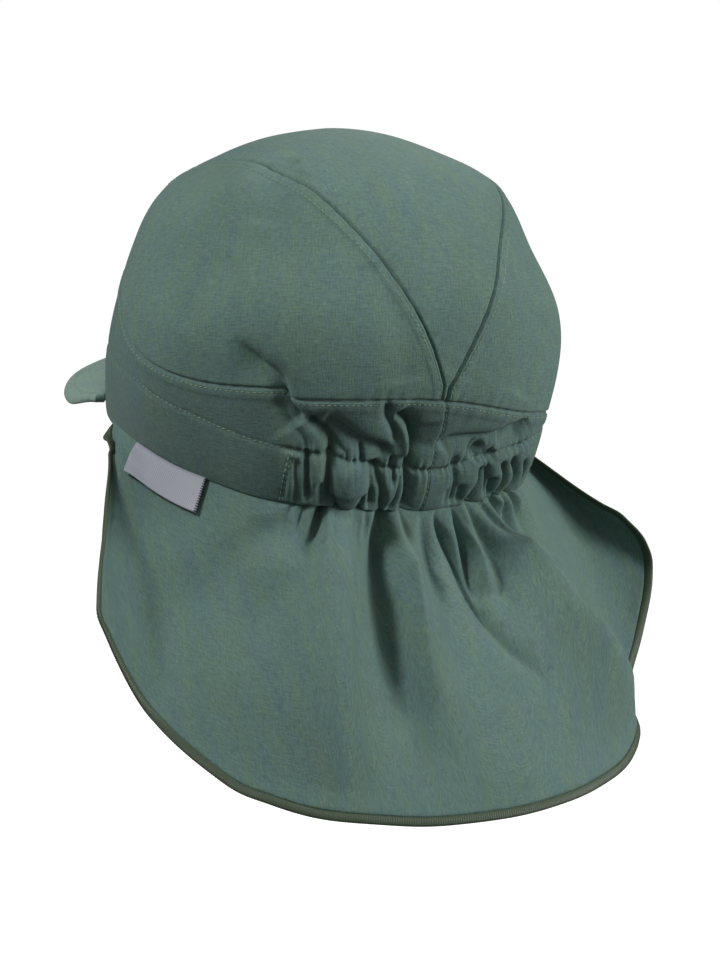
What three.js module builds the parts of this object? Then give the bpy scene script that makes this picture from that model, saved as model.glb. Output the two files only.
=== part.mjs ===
// A child's legionnaire cap of thin cotton: a crown of three panels on a deep band, a small curved
// peak over the brow, and a wide flap that covers the neck. Elastic gathers the back of the band.
// Millimetres, +Z up. The origin is the centre of the head opening, the peak points along -Y and
// the wearer's left is +X. A bearing is an angle round the head in degrees: 0 at the front, 90 at
// the wearer's left ear, 180 at the nape.
import * as THREE from "three";

// Crown: reach of its form from the point where its widest level crosses the head's axis
const crownHalfWidth = 79;
const crownFrontReach = 80;
const crownBackReach = 74;
const crownRise = 73;
const crownWidestHeight = 50;

// Seams round the head: heights from the centre of the opening, and the band's own heights
const brimFrontRise = 37;
const brimBackDrop = 7;
const casingHeight = 22;
const bandHeight = 40;
const crownSeamLean = 7;

// Cloth: its wall, the gap between neighbouring pieces, and the depth of its folds
const clothWall = 1.2;
const seamGap = 0.3;
const gatherDepth = 3.6;
const casingPuff = 1.8;
const creaseDepth = 3.2;
const creaseWidth = 4;
const elasticHalfArc = 48;
const elasticFade = 4;

// Centre panel: where its edges start at the nape and end at the brow, and its blunt tip
const panelTipHalfWidth = 1.6;
const panelBackAngle = -13;
const panelFrontAngle = 152;

// Peak
const peakHalfArc = 55;
const peakReach = 45;
const peakEndWidth = 4.5;
const peakDroop = 4;
const peakArch = 13;
const peakCamber = 4;
const peakThickness = 3;

// Neck flap: how far its lower edge spreads to each side, reaches back and hangs below the opening
const flapHalfArc = 110;
const flapHalfSpread = 117;
const flapBackReach = 111;
const flapDrop = 104;
const flapBelly = 8;
const flapFoldDepth = 8;
const hemWidth = 3;
const hemThickness = 2;
const hemGap = 0.5;

// Side label: a bare woven tab that hangs from the band's lower seam
const labelBearing = 82;
const labelLength = 36;
const labelDrop = 13;
const labelSlant = 5.5;
const labelThickness = 0.9;

// Reach of the crown and band at elevations from the widest level, as shares of the crown's reach
// that way, at six bearings on either side
const formBearings = [0, 45, 90, 112, 135, 180];
const formRows = [
  { elevation: -58, front: 1.12, brow: 1.11, side: 1.12, rear: 1.13, nape: 1.19, back: 1.15 },
  { elevation: -42, front: 1.08, brow: 1.07, side: 1.08, rear: 1.06, nape: 1.13, back: 1.01 },
  { elevation: -26, front: 1.04, brow: 1.085, side: 1.04, rear: 1.015, nape: 1.06, back: 0.955 },
  { elevation: -10, front: 1.01, brow: 1.005, side: 1.01, rear: 1.01, nape: 1.04, back: 0.985 },
  { elevation: 8, front: 0.98, brow: 0.965, side: 0.985, rear: 1.02, nape: 1.035, back: 1.01 },
  { elevation: 26, front: 0.975, brow: 0.975, side: 0.985, rear: 1.0, nape: 1.0, back: 1.01 },
  { elevation: 44, front: 0.985, brow: 1.02, side: 1.015, rear: 1.04, nape: 1.035, back: 1.015 },
  { elevation: 62, front: 0.97, brow: 0.985, side: 1.0, rear: 1.015, nape: 1.015, back: 1.0 },
  { elevation: 78, front: 0.99, brow: 0.99, side: 0.995, rear: 1.0, nape: 1.0, back: 0.995 },
  { elevation: 90, front: 1.0, brow: 1.0, side: 1.0, rear: 1.0, nape: 1.0, back: 1.0 },
];

// The three seams round the head: the lower edge as a share of its rise from nape to brow, then
// the casing's stitching and the crown seam as shares of the casing's and the band's heights
const seamRows = [
  { bearing: 0, lower: 1.0, casing: 1.14, crown: 1.03 },
  { bearing: 45, lower: 0.82, casing: 1.08, crown: 1.12 },
  { bearing: 70, lower: 0.615, casing: 1.1, crown: 1.03 },
  { bearing: 90, lower: 0.43, casing: 1.1, crown: 0.77 },
  { bearing: 112, lower: 0.25, casing: 1.0, crown: 0.7 },
  { bearing: 135, lower: 0.11, casing: 0.87, crown: 0.8 },
  { bearing: 180, lower: 0.0, casing: 0.61, crown: 1.0 },
];

// Edges of the centre panel from nape to brow: degrees off the middle plane to each side
const panelRows = [
  { along: 0, left: 0, right: 0 },
  { along: 0.08, left: 5.5, right: 6.5 },
  { along: 0.2, left: 14.5, right: 17 },
  { along: 0.33, left: 23.5, right: 28 },
  { along: 0.45, left: 29, right: 35 },
  { along: 0.55, left: 32, right: 38 },
  { along: 0.66, left: 32.5, right: 37 },
  { along: 0.78, left: 32.5, right: 34 },
  { along: 0.9, left: 31, right: 31 },
  { along: 1, left: 29, right: 29 },
];

// Grooves that the elastic draws into the casing: place as a share of the elastic's half arc from
// the nape, depth as a share of the gather depth
const grooveRows = [
  { place: -0.97, depth: 0.35 },
  { place: -0.885, depth: 0.5 },
  { place: -0.83, depth: 0.7 },
  { place: -0.77, depth: 0.55 },
  { place: -0.68, depth: 1.0 },
  { place: -0.57, depth: 0.65 },
  { place: -0.385, depth: 0.7 },
  { place: -0.33, depth: 0.6 },
  { place: -0.25, depth: 0.8 },
  { place: -0.2, depth: 0.6 },
  { place: -0.1, depth: 1.0 },
  { place: 0.04, depth: 0.5 },
  { place: 0.17, depth: 0.7 },
  { place: 0.3, depth: 0.8 },
  { place: 0.41, depth: 0.9 },
  { place: 0.51, depth: 0.7 },
  { place: 0.61, depth: 0.8 },
  { place: 0.68, depth: 0.8 },
  { place: 0.75, depth: 0.6 },
  { place: 0.82, depth: 0.7 },
  { place: 0.9, depth: 0.5 },
  { place: 0.97, depth: 0.35 },
];

// Creases above the casing and over the crown seam: bearing and share of the band's height at
// each end, and depth as a share of the crease depth
const creaseRows = [
  { bearing: 140, share: 0.98, toBearing: 148.5, toShare: 0.56, depth: 0.9 },
  { bearing: 148, share: 0.84, toBearing: 167, toShare: 0.51, depth: 0.8 },
  { bearing: 163.6, share: 0.95, toBearing: 171.5, toShare: 0.54, depth: 0.7 },
  { bearing: 171, share: 0.8, toBearing: 173.5, toShare: 0.38, depth: 1.0 },
  { bearing: 184, share: 0.66, toBearing: 216, toShare: 1.0, depth: 0.8 },
  { bearing: 196.8, share: 0.45, toBearing: 209.8, toShare: 0.71, depth: 0.6 },
  { bearing: 118, share: 1.6, toBearing: 136, toShare: 1.05, depth: 0.6 },
];

// Lower edge of the flap: the place on the seam that each row hangs from, as a share of the flap's
// half arc from the nape, and shares of the flap's spread to the side, reach to the back and drop
const hemRows = [
  { place: -1, across: 0.87, back: 0.2, drop: 0.067 },
  { place: -0.955, across: 0.985, back: 0.36, drop: 0.288 },
  { place: -0.909, across: 0.983, back: 0.378, drop: 0.394 },
  { place: -0.809, across: 0.863, back: 0.432, drop: 0.673 },
  { place: -0.655, across: 0.735, back: 0.62, drop: 0.865 },
  { place: -0.527, across: 0.65, back: 0.72, drop: 0.923 },
  { place: -0.4, across: 0.53, back: 0.8, drop: 0.971 },
  { place: -0.273, across: 0.385, back: 0.883, drop: 0.99 },
  { place: -0.136, across: 0.214, back: 0.955, drop: 1.0 },
  { place: 0, across: 0.0, back: 1.0, drop: 0.99 },
  { place: 0.145, across: -0.188, back: 1.0, drop: 0.962 },
  { place: 0.273, across: -0.342, back: 0.955, drop: 0.933 },
  { place: 0.4, across: -0.496, back: 0.865, drop: 0.899 },
  { place: 0.509, across: -0.624, back: 0.73, drop: 0.846 },
  { place: 0.618, across: -0.735, back: 0.55, drop: 0.788 },
  { place: 0.709, across: -0.812, back: 0.45, drop: 0.731 },
  { place: 0.782, across: -0.88, back: 0.387, drop: 0.663 },
  { place: 0.855, across: -0.949, back: 0.342, drop: 0.548 },
  { place: 0.927, across: -1.008, back: 0.306, drop: 0.365 },
  { place: 0.973, across: -0.974, back: 0.306, drop: 0.25 },
  { place: 1, across: -0.897, back: 0.288, drop: 0.154 },
];

// Folds of the flap from the seam to its lower edge: the place that each follows at the top, the
// middle and the bottom, its half width above (wide) and below (low), as shares of the flap's half
// arc, and its height at the top, middle and end as a share of the fold depth. A valley is negative.
const foldRows = [
  { top: -0.391, middle: -0.745, bottom: -0.873, wide: 0.045, low: 0.064, high: -0.35, mid: -0.3, end: 0 },
  { top: -0.336, middle: -0.573, bottom: -0.673, wide: 0.036, low: 0.064, high: -0.35, mid: -0.3, end: 0 },
  { top: -0.255, middle: -0.318, bottom: -0.391, wide: 0.045, low: 0.082, high: 0.5, mid: 0.45, end: 0.1 },
  { top: -0.118, middle: -0.182, bottom: -0.173, wide: 0.036, low: 0.073, high: -0.9, mid: -0.9, end: -0.1 },
  { top: -0.064, middle: -0.1, bottom: -0.082, wide: 0.027, low: 0.055, high: 0.5, mid: 0.7, end: 0.1 },
  { top: 0.018, middle: -0.036, bottom: -0.018, wide: 0.023, low: 0.045, high: -0.6, mid: -0.1, end: 0 },
  { top: 0.082, middle: 0.127, bottom: 0.264, wide: 0.027, low: 0.055, high: 0.6, mid: 0.4, end: 0 },
  { top: 0.155, middle: 0.164, bottom: 0.318, wide: 0.027, low: 0.055, high: -0.6, mid: -0.4, end: 0 },
  { top: 0.264, middle: 0.345, bottom: 0.545, wide: 0.036, low: 0.064, high: 0.5, mid: 0.8, end: 0.1 },
  { top: 0.318, middle: 0.473, bottom: 0.655, wide: 0.036, low: 0.073, high: -0.6, mid: -0.5, end: -0.1 },
];

// Steps of the faceted surfaces
const panelSteps = 24;
const centrePanelSteps = 8;
const sidePanelSteps = 9;
const plainBandStep = 8;
const wingSteps = 13;
const wingSpacing = 1.6;
const flapLevels = [0, 0.04, 0.09, 0.16, 0.25, 0.36, 0.48, 0.61, 0.74, 0.88, 1];
const upperBandSteps = 4;
const peakSteps = 22;
const peakRowSteps = 4;
const labelSteps = 6;

const column = (rows, name) => rows.map((row) => row[name]);

// A smooth curve through a table's column, with level slopes averaged from the neighbouring rows.
function smooth(places, values, at) {
  const last = places.length - 1;
  const place = THREE.MathUtils.clamp(at, places[0], places[last]);
  let i = 0;
  while (i < last - 1 && place > places[i + 1]) i += 1;
  const slope = (k) => {
    const low = Math.max(k - 1, 0);
    const high = Math.min(k + 1, last);
    return (values[high] - values[low]) / (places[high] - places[low]);
  };
  const span = places[i + 1] - places[i];
  const t = (place - places[i]) / span;
  const t2 = t * t;
  const t3 = t2 * t;
  return (
    (2 * t3 - 3 * t2 + 1) * values[i] + (t3 - 2 * t2 + t) * span * slope(i) +
    (3 * t2 - 2 * t3) * values[i + 1] + (t3 - t2) * span * slope(i + 1)
  );
}

// The same, for a column that is alike on both sides of the head.
function mirrored(bearings, values, bearing) {
  const turned = Math.abs(THREE.MathUtils.euclideanModulo(bearing + 180, 360) - 180);
  const last = bearings.length - 1;
  return smooth(
    [-bearings[1], ...bearings, 360 - bearings[last - 1]],
    [values[1], ...values, values[last - 1]],
    turned,
  );
}

const smoothStep = (low, high, value) => THREE.MathUtils.smoothstep(value, low, high);
const bell = (distance, width) => Math.exp(-((distance / width) ** 2));
const radians = THREE.MathUtils.degToRad;
const formCentre = new THREE.Vector3(0, 0, crownWidestHeight);
const formColumns = ["front", "brow", "side", "rear", "nape", "back"];
const formElevations = column(formRows, "elevation");
const formShares = formColumns.map((name) => column(formRows, name));
const seamBearings = column(seamRows, "bearing");

// The bare form of crown and band, as a point and the direction that it lies in from the centre.
function formPoint(bearing, elevation) {
  const shares = formShares.map((shareColumn) => smooth(formElevations, shareColumn, elevation));
  const share = mirrored(formBearings, shares, bearing);
  const level = Math.cos(radians(elevation));
  const ahead = Math.cos(radians(bearing));
  const reach = ahead > 0 ? crownFrontReach : crownBackReach;
  const offset = new THREE.Vector3(
    crownHalfWidth * share * level * Math.sin(radians(bearing)),
    -reach * share * level * ahead,
    crownRise * share * Math.sin(radians(elevation)),
  );
  const radial = offset.clone().normalize();
  return { point: offset.add(formCentre), radial };
}

function elevationAt(bearing, height) {
  let low = -62;
  let high = 89;
  for (let i = 0; i < 32; i += 1) {
    const middle = (low + high) / 2;
    if (formPoint(bearing, middle).point.z < height) low = middle;
    else high = middle;
  }
  return (low + high) / 2;
}

// Heights of the three seams round the head
function lowerSeam(bearing) {
  const rise = brimFrontRise + brimBackDrop;
  return rise * mirrored(seamBearings, column(seamRows, "lower"), bearing) - brimBackDrop;
}
function casingSeam(bearing) {
  const share = mirrored(seamBearings, column(seamRows, "casing"), bearing);
  return lowerSeam(bearing) + casingHeight * share;
}
function crownSeam(bearing) {
  const share = mirrored(seamBearings, column(seamRows, "crown"), bearing);
  return lowerSeam(bearing) + bandHeight * share + crownSeamLean * Math.sin(radians(bearing));
}

const grooves = grooveRows.map((row) => ({
  bearing: 180 + row.place * elasticHalfArc,
  depth: row.depth * gatherDepth,
}));

// How far the gathers draw the cloth in: deep at each groove, nothing on the puffs between.
function gatherAt(bearing) {
  const last = grooves.length - 1;
  if (bearing <= grooves[0].bearing || bearing >= grooves[last].bearing) return 0;
  let i = 0;
  while (bearing > grooves[i + 1].bearing) i += 1;
  const from = grooves[i];
  const to = grooves[i + 1];
  const t = (bearing - from.bearing) / (to.bearing - from.bearing);
  const depth = THREE.MathUtils.lerp(from.depth, to.depth, t);
  const end = Math.min(bearing - grooves[0].bearing, grooves[last].bearing - bearing);
  return depth * (1 - Math.sin(Math.PI * t) ** 0.7) * smoothStep(0, elasticFade, end);
}

// Depth of the creases where the height stands at a share of the band's own height there.
function creaseAt(bearing, share) {
  const perDegree = radians(1) * crownHalfWidth;
  let depth = 0;
  for (const row of creaseRows) {
    const alongX = (row.toBearing - row.bearing) * perDegree;
    const alongY = (row.toShare - row.share) * bandHeight;
    const x = (bearing - row.bearing) * perDegree;
    const y = (share - row.share) * bandHeight;
    const squared = alongX * alongX + alongY * alongY;
    const t = THREE.MathUtils.clamp((x * alongX + y * alongY) / squared, 0, 1);
    const off = Math.hypot(x - t * alongX, y - t * alongY);
    depth += row.depth * creaseDepth * bell(off, creaseWidth);
  }
  return depth;
}

// How far the cloth stands out from the bare form: gathers and the puffed casing below, creases above.
function reliefAt(bearing, height) {
  const lower = lowerSeam(bearing);
  const share = (height - lower) / (crownSeam(bearing) - lower);
  const inCasing = (height - lower) / (casingSeam(bearing) - lower);
  const elastic = smoothStep(0, elasticFade, elasticHalfArc - Math.abs(bearing - 180));
  const puff = inCasing > 0 && inCasing < 1 ? casingPuff * Math.sin(Math.PI * inCasing) : 0;
  const gathered = gatherAt(bearing) * (1 - smoothStep(0.85, 1.6, inCasing));
  return elastic * puff - gathered - creaseAt(bearing, share);
}

// A point of the cloth at a height, or in a direction, drawn in from its outer face.
function clothAt(bearing, height, inward = 0) {
  const { point, radial } = formPoint(bearing, elevationAt(bearing, height));
  return point.addScaledVector(radial, reliefAt(bearing, height) - inward);
}
function clothToward(direction, inward = 0) {
  const { x, y, z } = direction;
  const bearing = THREE.MathUtils.euclideanModulo(THREE.MathUtils.radToDeg(Math.atan2(x, -y)), 360);
  const elevation = THREE.MathUtils.radToDeg(Math.asin(THREE.MathUtils.clamp(z, -1, 1)));
  const { point, radial } = formPoint(bearing, elevation);
  return point.addScaledVector(radial, reliefAt(bearing, point.z) - inward);
}

// A closed solid between a grid of outer points and the matching grid of inner points. Points that
// fall together at a pointed end are joined, and a face without area is left out.
function shell(outer, inner, goesRound = false) {
  const corners = [];
  const known = new Map();
  const indexOf = (point) => {
    const key = point.toArray().map((value) => Math.round(value * 1000)).join();
    if (!known.has(key)) {
      known.set(key, corners.length);
      corners.push(point);
    }
    return known.get(key);
  };
  const outerIds = outer.map((row) => row.map(indexOf));
  const innerIds = inner.map((row) => row.map(indexOf));
  const faces = [];
  const triangle = (a, b, c) => {
    if (a !== b && b !== c && c !== a) faces.push([a, b, c]);
  };
  const quad = (a, b, c, d) => {
    triangle(a, b, c);
    triangle(a, c, d);
  };
  const rows = outer.length;
  const columns = outer[0].length;
  const lastColumn = goesRound ? columns : columns - 1;
  for (let j = 0; j < lastColumn; j += 1) {
    const next = (j + 1) % columns;
    for (let i = 0; i < rows - 1; i += 1) {
      quad(outerIds[i][j], outerIds[i][next], outerIds[i + 1][next], outerIds[i + 1][j]);
      quad(innerIds[i][j], innerIds[i + 1][j], innerIds[i + 1][next], innerIds[i][next]);
    }
    quad(outerIds[0][next], outerIds[0][j], innerIds[0][j], innerIds[0][next]);
    quad(outerIds[rows - 1][j], outerIds[rows - 1][next], innerIds[rows - 1][next], innerIds[rows - 1][j]);
  }
  if (!goesRound) {
    for (let i = 0; i < rows - 1; i += 1) {
      const end = columns - 1;
      quad(outerIds[i][0], outerIds[i + 1][0], innerIds[i + 1][0], innerIds[i][0]);
      quad(outerIds[i + 1][end], outerIds[i][end], innerIds[i][end], innerIds[i + 1][end]);
    }
  }
  const volume = faces.reduce(
    (sum, [a, b, c]) => sum + corners[a].dot(corners[b].clone().cross(corners[c])),
    0,
  );
  const outward = volume < 0 ? faces.map(([a, b, c]) => [a, c, b]) : faces;
  const geometry = new THREE.BufferGeometry();
  const numbers = corners.flatMap((corner) => corner.toArray());
  geometry.setAttribute("position", new THREE.Float32BufferAttribute(numbers, 3));
  geometry.setIndex(outward.flat());
  geometry.computeVertexNormals();
  return geometry;
}

const steps = (count) => Array.from({ length: count + 1 }, (_, i) => i / count);
const grid = (rowValues, columnValues, make) =>
  rowValues.map((row) => columnValues.map((value) => make(row, value)));

// Crown panels. A direction is given by an angle over the head from nape to brow and a lateral one.
const seamHalfGap = THREE.MathUtils.radToDeg(seamGap / 2 / crownBackReach);
const tipAngle = THREE.MathUtils.radToDeg(panelTipHalfWidth / crownBackReach);

function overHead(angle, lateral) {
  const level = Math.cos(radians(lateral));
  return new THREE.Vector3(
    Math.sin(radians(lateral)),
    level * Math.cos(radians(angle)),
    level * Math.sin(radians(angle)),
  );
}

// Lateral angle of the centre panel's edge, to the wearer's left or right.
function panelEdge(angle, side) {
  const along = (angle - panelBackAngle) / (panelFrontAngle - panelBackAngle);
  const name = side > 0 ? "left" : "right";
  return Math.max(smooth(column(panelRows, "along"), column(panelRows, name), along), tipAngle);
}

// Angle over the head at which a line of the panel, a share of the way across, meets the crown seam.
function seamAngle(across, clearance, fromAngle, toAngle) {
  let above = fromAngle;
  let below = toAngle;
  for (let i = 0; i < 32; i += 1) {
    const middle = (above + below) / 2;
    const direction = overHead(middle, across * panelEdge(middle, across));
    const bearing = THREE.MathUtils.radToDeg(Math.atan2(direction.x, -direction.y));
    const elevation = THREE.MathUtils.radToDeg(Math.asin(direction.z));
    const height = formPoint(bearing, elevation).point.z;
    if (height > crownSeam(bearing) + clearance) above = middle;
    else below = middle;
  }
  return (above + below) / 2;
}
const backAngle = (across) => seamAngle(across, seamGap / 2, 40, -40);
const frontAngle = (across) => seamAngle(across, seamGap / 2, 130, 175);

function centrePanel() {
  const across = steps(centrePanelSteps).map((t) => 2 * t - 1);
  const place = (share, side) => {
    const from = backAngle(side);
    const angle = from + (frontAngle(side) - from) * share;
    return overHead(angle, side * (panelEdge(angle, side) - seamHalfGap));
  };
  const rows = steps(panelSteps);
  return shell(
    grid(rows, across, (share, side) => clothToward(place(share, side))),
    grid(rows, across, (share, side) => clothToward(place(share, side), clothWall)),
  );
}

// A side panel runs from the crown seam up to the centre panel's edge and is pointed at both ends.
function sidePanel(side) {
  const from = backAngle(side);
  const to = frontAngle(side);
  const upper = (share) => {
    const angle = from + (to - from) * share;
    return overHead(angle, side * (panelEdge(angle, side) + seamHalfGap));
  };
  const bearingOf = (direction) => THREE.MathUtils.radToDeg(Math.atan2(direction.x, -direction.y));
  const backBearing = bearingOf(upper(0));
  const frontBearing = bearingOf(upper(1));
  const lower = (share) => {
    const bearing = THREE.MathUtils.lerp(backBearing, frontBearing, share);
    return seamDirection(bearing);
  };
  const place = (rise, share) => {
    if (share === 0 || share === 1) return upper(share);
    return lower(share).lerp(upper(share), rise).normalize();
  };
  const rises = steps(sidePanelSteps);
  const shares = steps(panelSteps);
  return shell(
    grid(rises, shares, (rise, share) => clothToward(place(rise, share))),
    grid(rises, shares, (rise, share) => clothToward(place(rise, share), clothWall)),
  );
}

// Direction from the form's centre to the crown seam at a bearing.
function seamDirection(bearing) {
  const elevation = elevationAt(bearing, crownSeam(bearing) + seamGap / 2);
  const level = Math.cos(radians(elevation));
  return new THREE.Vector3(
    level * Math.sin(radians(bearing)),
    -level * Math.cos(radians(bearing)),
    Math.sin(radians(elevation)),
  );
}

// Bearings of the facets round the head: even where the cloth is plain, and at each groove and
// puff where it is gathered.
function elasticBearings(perPuff) {
  const list = [];
  for (let i = 0; i < grooves.length - 1; i += 1) {
    for (let k = 0; k < perPuff; k += 1) {
      list.push(THREE.MathUtils.lerp(grooves[i].bearing, grooves[i + 1].bearing, k / perPuff));
    }
  }
  return [...list, grooves[grooves.length - 1].bearing];
}
function plainBearings(from, to, step) {
  const count = Math.max(1, Math.round((to - from) / step));
  return steps(count).slice(1, -1).map((t) => from + (to - from) * t);
}

function headBand() {
  const gathered = elasticBearings(3);
  const first = gathered[0];
  const last = gathered[gathered.length - 1];
  const bearings = [...gathered, ...plainBearings(last, first + 360, plainBandStep)];
  const levels = [0, 0.5, 1, ...steps(upperBandSteps).slice(1).map((t) => 1 + t)];
  const height = (level, bearing) => {
    const low = lowerSeam(bearing) + seamGap / 2;
    const middle = casingSeam(bearing);
    const high = crownSeam(bearing) - seamGap / 2;
    return level < 1 ? low + (middle - low) * level : middle + (high - middle) * (level - 1);
  };
  const place = (bearing) => THREE.MathUtils.euclideanModulo(bearing, 360);
  return shell(
    grid(levels, bearings, (level, b) => clothAt(place(b), height(level, b))),
    grid(levels, bearings, (level, b) => clothAt(place(b), height(level, b), clothWall)),
    true,
  );
}

// The peak butts against the outside of the band over the brow and curves down at both ends.
function peak() {
  const shares = steps(peakSteps);
  const rows = steps(peakRowSteps);
  const endSeam = clothAt(peakHalfArc, lowerSeam(peakHalfArc));
  const halfSpan = endSeam.x + peakEndWidth;
  const frontY = -(crownFrontReach + peakReach);
  const outerEdge = (share) => {
    const turn = Math.PI * share;
    const drop = peakDroop * smoothStep(0, 0.12, Math.min(share, 1 - share));
    return new THREE.Vector3(
      halfSpan * Math.cos(turn),
      endSeam.y + (frontY - endSeam.y) * Math.sin(turn),
      endSeam.z + seamGap + peakThickness / 2 - drop + peakArch * Math.sin(turn) ** 2,
    );
  };
  const face = (row, share, lift) => {
    const bearing = peakHalfArc * (1 - 2 * share);
    const rise = seamGap + peakThickness / 2 + lift;
    const place = THREE.MathUtils.euclideanModulo(bearing, 360);
    const root = clothAt(place, lowerSeam(bearing) + rise, -seamGap);
    const edge = outerEdge(share);
    edge.z += lift * (1 - 0.4 * row);
    const camber = peakCamber * 4 * row * (1 - row) * Math.sin(Math.PI * share);
    return root.lerp(edge, row).add(new THREE.Vector3(0, 0, camber));
  };
  return shell(
    grid(rows, shares, (row, share) => face(row, share, peakThickness / 2)),
    grid(rows, shares, (row, share) => face(row, share, -peakThickness / 2)),
  );
}

// Neck flap. Its place is a bearing on the band's lower seam and a share of the way to the hem.
const flapFrom = 180 - flapHalfArc;
const flapTo = 180 + flapHalfArc;
const hemPlaces = column(hemRows, "place");
const flapPlace = (bearing) => (bearing - 180) / flapHalfArc;

function flapOutline(bearing) {
  const at = (name) => smooth(hemPlaces, column(hemRows, name), flapPlace(bearing));
  return new THREE.Vector3(
    flapHalfSpread * at("across"),
    flapBackReach * at("back"),
    -flapDrop * at("drop"),
  );
}
function flapSeam(bearing) {
  return formPoint(bearing, elevationAt(bearing, lowerSeam(bearing) - seamGap / 2));
}

// Lower edge of the cloth itself, inside the hem.
function flapEdge(bearing) {
  const edge = flapOutline(bearing);
  const run = flapOutline(Math.min(bearing + 1, flapTo)).sub(flapOutline(Math.max(bearing - 1, flapFrom)));
  run.normalize();
  const inward = flapSeam(bearing).point.sub(edge);
  inward.addScaledVector(run, -inward.dot(run)).normalize();
  return edge.addScaledVector(inward, hemWidth + hemGap);
}

function flapForm(bearing, share) {
  const seam = flapSeam(bearing).point;
  const edge = flapEdge(bearing);
  const out = edge.clone().sub(seam).setZ(0).normalize();
  const middle = Math.sin((Math.PI * (bearing - flapFrom)) / (flapTo - flapFrom));
  const belly = flapBelly * Math.max(middle, 0) * 4 * share * (1 - share) ** 1.5;
  return seam.lerp(edge, share).addScaledVector(out, belly);
}

// Height of the folds over the flap's form.
function foldAt(bearing, share) {
  let height = 0;
  const place = flapPlace(bearing);
  for (const row of foldRows) {
    const centre = smooth([0, 0.5, 1], [row.top, row.middle, row.bottom], share);
    const width = THREE.MathUtils.lerp(row.wide, row.low, share);
    const high = smooth([0, 0.08, 0.5, 1], [0, row.high, row.mid, row.end], share);
    height += high * flapFoldDepth * bell(place - centre, width);
  }
  return height - gatherAt(bearing) * (1 - smoothStep(0, 0.22, share));
}

function flapAt(bearing, share, inward = 0) {
  const turn = 0.5;
  const run = 0.01;
  const around = flapForm(Math.min(bearing + turn, flapTo), share);
  around.sub(flapForm(Math.max(bearing - turn, flapFrom), share));
  const down = flapForm(bearing, Math.min(share + run, 1));
  down.sub(flapForm(bearing, Math.max(share - run, 0)));
  const normal = down.cross(around).normalize();
  const { radial } = flapSeam(bearing);
  const raised = radial.lerp(normal, smoothStep(0, 0.2, share)).normalize();
  const point = flapForm(bearing, share).addScaledVector(raised, foldAt(bearing, share));
  return point.addScaledVector(normal, -inward);
}

// Bearings of the flap's facets: close together at its rounded front corners and in the gathers.
function flapBearings() {
  const gathered = elasticBearings(2);
  const first = gathered[0];
  const last = gathered[gathered.length - 1];
  const spread = steps(wingSteps).slice(0, -1).map((t) => t ** wingSpacing);
  return [
    ...spread.map((t) => flapFrom + (first - flapFrom) * t),
    ...gathered,
    ...[...spread].reverse().map((t) => flapTo - (flapTo - last) * t),
  ];
}

function neckFlap() {
  const bearings = flapBearings();
  return shell(
    grid(flapLevels, bearings, (share, bearing) => flapAt(bearing, share)),
    grid(flapLevels, bearings, (share, bearing) => flapAt(bearing, share, clothWall)),
  );
}

// The hem is an edging beside the cloth: down the front edge, along the bottom and up again.
function flapHem() {
  const path = [];
  const edgeShares = flapLevels.slice(3, -1);
  for (const share of edgeShares) path.push([flapFrom, share]);
  for (const bearing of flapBearings()) path.push([bearing, 1]);
  for (const share of [...edgeShares].reverse()) path.push([flapTo, share]);
  const middle = path.map(([bearing, share]) => flapAt(bearing, share, clothWall / 2));
  const frames = path.map(([bearing, share], i) => {
    const before = middle[i].clone().sub(middle[Math.max(i - 1, 0)]).normalize();
    const after = middle[Math.min(i + 1, path.length - 1)].clone().sub(middle[i]).normalize();
    const normal = flapAt(bearing, share).sub(flapAt(bearing, share, clothWall)).normalize();
    const out = before.add(after).cross(normal).normalize();
    return { centre: middle[i], normal, out };
  });
  const corner = (frame, away, lift) => frame.centre.clone()
    .addScaledVector(frame.out, away)
    .addScaledVector(frame.normal, lift);
  const aways = [hemGap, hemGap + hemWidth / 2, hemGap + hemWidth];
  const lifts = [0.7, 1, 0.5].map((share) => (share * hemThickness) / 2);
  return shell(
    aways.map((away, k) => frames.map((frame) => corner(frame, away, lifts[k]))),
    aways.map((away, k) => frames.map((frame) => corner(frame, away, -lifts[k]))),
  );
}

// The label lies on the outside of the flap just below the seam.
function sideLabel() {
  const perDegree = flapSeam(labelBearing).point.distanceTo(flapSeam(labelBearing + 1).point);
  const arc = labelLength / perDegree;
  const face = (down, across, lift) => {
    const bearing = labelBearing + (across * arc) - (down * labelSlant) / perDegree;
    const fall = flapForm(bearing, 0).z - flapForm(bearing, 1).z;
    const share = (seamGap + down * labelDrop) / fall;
    return flapAt(bearing, share, -lift);
  };
  const rows = steps(2);
  const columns = steps(labelSteps);
  return shell(
    grid(rows, columns, (down, across) => face(down, across, 2 * seamGap + labelThickness)),
    grid(rows, columns, (down, across) => face(down, across, 2 * seamGap)),
  );
}

function clothMaterial(color, roughness = 0.85) {
  return new THREE.MeshStandardMaterial({ color, roughness, metalness: 0 });
}

function addPiece(name, geometry, material) {
  const mesh = new THREE.Mesh(geometry, material);
  mesh.name = name;
  cap.add(mesh);
}

const cap = new THREE.Group();
addPiece("crown_centre_panel", centrePanel(), clothMaterial(0x5b726c));
addPiece("crown_side_panel_left", sidePanel(1), clothMaterial(0x587069));
addPiece("crown_side_panel_right", sidePanel(-1), clothMaterial(0x5c746d));
addPiece("head_band", headBand(), clothMaterial(0x4a5f5c));
addPiece("peak", peak(), clothMaterial(0x6d8178));
addPiece("neck_flap", neckFlap(), clothMaterial(0x586e69));
addPiece("flap_hem", flapHem(), clothMaterial(0x4e6254, 0.75));
addPiece("side_label", sideLabel(), clothMaterial(0x8c8fa0, 0.6));

export default cap;
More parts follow.
